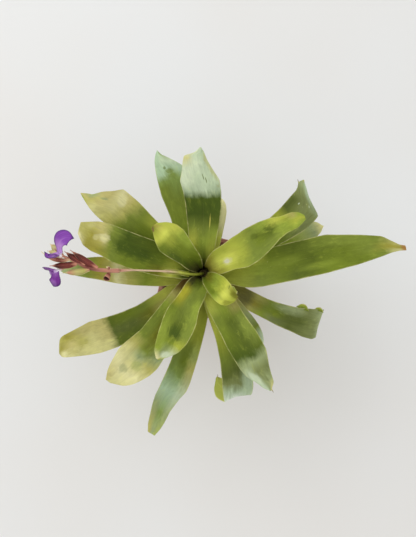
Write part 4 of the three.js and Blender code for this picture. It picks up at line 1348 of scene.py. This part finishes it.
# %% Petal finishes
def petal_finish(name, tones, seed, ray):
    """ray is how far the petal's middle line turns pale."""
    finish = Finish(name, Roughness=0.4, Specular_IOR_Level=0.25)
    layer = blade_layers(finish, seed)
    outward = layer["across"].size()
    uneven = stray(layer, layer["along"], veins=0.2) + outward * 0.06
    colour = finish.ramp(read_tones(tones), uneven)
    rim = stray(layer, outward, streaks=0.3).ease(0.7, 1.0)
    colour = finish.mix(layer["blotches"].ease(0.45, 0.7) * 0.4, colour, tint("lilac"))
    colour = finish.mix(rim * 0.7, colour, tint("violet_dark"))
    pale_vein = outward.ease(0.16, 0.02) * layer["along"].ease(0.9, 0.4)
    colour = finish.mix(pale_vein * ray, colour, tint("lilac"))
    colour = finish.brighten(colour, stray(layer, 1, veins=0.9, blotches=0.6))
    relief = layer["veins"] + layer["grain"] * 0.4
    return finish.dress(colour, 0.34 + layer["veins"] * 0.2, relief, 0.0004, 0.7)


VIOLET_TONES = "white .02, lilac .1, lilac .34, violet .55, violet .86, violet_dark 1"
RED_TONES = "lilac .04, violet_red .2, violet_red .6, violet_dark 1"
petal_violet = petal_finish("petal_violet", VIOLET_TONES, 71, 0.4)
petal_red = petal_finish("petal_violet_red", RED_TONES, 72, 0)
throat_finish = stalk_finish("flower_throat", "bract_pink 0, white 0.5, lilac 1", 73)
print("petal finishes:", petal_violet.name, petal_red.name, throat_finish.name)

# %% [markdown]
# Each open flower has three violet petals on a pale throat. A petal could be cut out of a picture,
# but it is a blade too: a narrow lilac claw that widens to a rounded, veined blade, lighter in its
# middle and darker at its margins. It twists and sweeps as it leaves the throat, and that is what
# makes a flower look open.

# %% Flowers
PETAL_THICK = 0.65
MOUTH_SHARE = 0.8296
PETAL_COLUMNS = ("heading", "rise", "length", "width", "droop", "roll", "sweep", "claw", "lean")
FLOWERS = [
    {
        "name": "flower_1",
        "throat": ((-119.4, 7.7, 170.6), 110, 30, 5),
        "petals": [
            (90, 8, 21.5, 15.5, 20, 0, -108, 5, 1.2),
            (213, 2, 16, 9, 10, 62, -95, 3.2, 0),
            (192, 34, 10, 6, 30, 70, 0, 3.2, 0),
        ],
    },
    {
        "name": "flower_2",
        "throat": ((-120, -1, 162.6), 197, 4, 8),
        "petals": [
            (170, 10, 11.5, 9, 20, 72, -12, 3.2, 0),
            (276, 0, 15, 11, 50, 0, -44, 6.5, 0),
            (200, -50, 15, 9, 30, 0, 0, 3.2, 0),
        ],
    },
]


def make_petal(name, start, row, finish):
    petal = dict(zip(PETAL_COLUMNS, row))
    length, width = petal["length"], petal["width"]

    def rise(s):
        return petal["rise"] - petal["droop"] * ease(0.3 * length, length, s)

    def heading(s):
        return petal["heading"] + petal["sweep"] * ease(0.15 * length, length, s)

    def roll(s):
        return petal["roll"] * ease(0, 0.5 * length, s)

    def wave(rib, v):
        return 0.7 * np.outer(np.sin(9 * rib["t"]) * ease(0.3, 0.7, rib["t"]), v * v)

    rib = make_rib(start, length, 30, rise, heading, roll)
    t = rib["t"]
    claw = petal["claw"] / width
    opened = claw + (1 - claw) * ease(0.2, 0.62, t)
    half = np.maximum(0.3, width / 2 * opened * (1 - ease(0.45, 1.04, t) ** 2.2))
    bow = 1.2 / width - 1.6 / width * ease(0.45, 1, t)
    shift = petal["lean"] * ease(0.1, 0.6, t)
    return span_blade(name, rib, half, bow, PETAL_THICK, 18, (finish, finish), shift=shift, ripple=wave)


def make_flower(flower, finish):
    """A throat and the petals that start a little inside its mouth."""
    name = flower["name"]
    start, heading, rise, length = flower["throat"]
    rib = make_rib(start, length, 10, steady(rise), steady(heading), steady(0))
    pieces = [loft(f"{name}_throat", rib, 1 + 0.6 * rib["t"], 16, (throat_finish,))]
    mouth = rib["points"][0] + MOUTH_SHARE * (rib["points"][-1] - rib["points"][0])
    for number, row in enumerate(flower["petals"], 1):
        pieces.append(make_petal(f"{name}_petal_{number}", mouth, row, finish))
    return place(join(f"{name}_bloom", pieces), "petal", name)


blooms = [make_flower(flower, finish) for flower, finish in zip(FLOWERS, (petal_violet, petal_red))]
print("blooms:", [bloom.name for bloom in blooms])

# %% [markdown]
# Pot, stem and mix keep their CAD shapes, which are right as they are, and only get finishes:
# dusty terracotta-coloured plastic, fibrous stem, and bark in many browns. These solids have no
# coordinates of their own, so their noises lie in the space of the object.

# %% Finishes of the solid pieces
def solid_finish(name, tones, grain, relief_depth, roughness):
    """grain is how many spots there are to a metre."""
    finish = Finish(name, Specular_IOR_Level=0.35)
    spot = finish.object_place()
    slow = finish.noise(spot, grain, 4, 0.6, 0.4)
    fine = finish.noise(spot, grain * 9, 4, 0.65)
    colour = finish.ramp(read_tones(tones), slow * 0.7 + fine * 0.3)
    colour = finish.brighten(colour, 1 + (fine - 0.5) * 0.4)
    return finish.dress(colour, roughness + (fine - 0.5) * 0.2, slow * 0.5 + fine, relief_depth, 0.6)


SOLID_FINISHES = {
    "pot": solid_finish("pot_clay", "clay .3, clay .5, clay_dust .72", 40, 0.0003, 0.62),
    "potting_mix": solid_finish("bark_mix", "chip_dark .3, chip .5, chip_pale .72", 110, 0.001, 0.9),
    "stem": solid_finish("stem_fibre", "bark .3, stem .5, tan .72", 160, 0.0008, 0.8),
}
for node, finish in SOLID_FINISHES.items():
    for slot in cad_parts[node].material_slots:
        slot.material = finish
print("solid finishes:", list(SOLID_FINISHES))

# %% [markdown]
# The plant stands on a plain pale floor. A curved backdrop isn't needed, because the camera looks
# down and sees nothing else behind the leaves. The floor belongs to the stage, not to the plant.

# %% Floor
FLOOR_REACH = 3.0
FLOOR_CORNERS = ((-1, -1), (1, -1), (1, 1), (-1, 1))
floor_points = np.array([(x * FLOOR_REACH, y * FLOOR_REACH, 0) for x, y in FLOOR_CORNERS]) / MM
floor = mesh_object("studio_floor", floor_points, [(0, 1, 2, 3)], smooth=False)
floor_finish = Finish("floor_paint", Roughness=0.9, Specular_IOR_Level=0.1)
floor_tone = floor_finish.noise(floor_finish.object_place(), 2.2, 2, 0.5)
floor_finish.dress(floor_finish.mix(floor_tone.ease(0.3, 0.7), tint("floor"), tint("floor_warm")))
floor.data.materials.append(floor_finish.material)
print("floor:", 2 * FLOOR_REACH, "m wide")

# %% [markdown]
# The light comes softly from all round, and least from overhead. That is what lightens the drooping
# ends of the leaves, which face the horizon, and their pale tones paint part of that sheen as well.
# Many lamps could stand in a ring, but a dome that is brightest near the horizon does the same at
# once. One wide soft light gives the shadows their side.

# %% Light
HORIZON_LIGHT = 1.35
ZENITH_LIGHT = 0.72
DOME_COLOUR = (1.0, 0.99, 0.97, 1)
WINDOW_SIZE = (1.6, 1.2)
WINDOW_POWER = 9
WINDOW_PLACE = (-1.1, 0.9, 1.2)
WINDOW_TARGET = Vector((0, 0, 0.1))

world = bpy.data.worlds.new("studio")
world.use_nodes = True
bpy.context.scene.world = world
dome = Nodes(world.node_tree)
background = world.node_tree.nodes["Background"]
direction = dome.add("ShaderNodeTexCoord", output="Generated")
height = dome.add("ShaderNodeSeparateXYZ", {}, [direction], output="Z")
fade = {"Value": height, "From Min": 0.2, "From Max": 0.95, "To Min": HORIZON_LIGHT, "To Max": ZENITH_LIGHT}
brightness = dome.add("ShaderNodeMapRange", {"interpolation_type": "SMOOTHSTEP"}, fade)
dome.feed(background.inputs["Strength"], brightness)
dome.feed(background.inputs["Color"], DOME_COLOUR)

window = bpy.data.objects.new("soft_window", bpy.data.lights.new("soft_window", "AREA"))
window.data.shape = "RECTANGLE"
window.data.size, window.data.size_y = WINDOW_SIZE
window.data.energy = WINDOW_POWER
window.location = WINDOW_PLACE
window.rotation_euler = (WINDOW_TARGET - window.location).to_track_quat("-Z", "Y").to_euler()
bpy.context.scene.collection.objects.link(window)
bpy.context.scene.view_settings.view_transform = "Standard"
print("dome from", ZENITH_LIGHT, "overhead to", HORIZON_LIGHT)
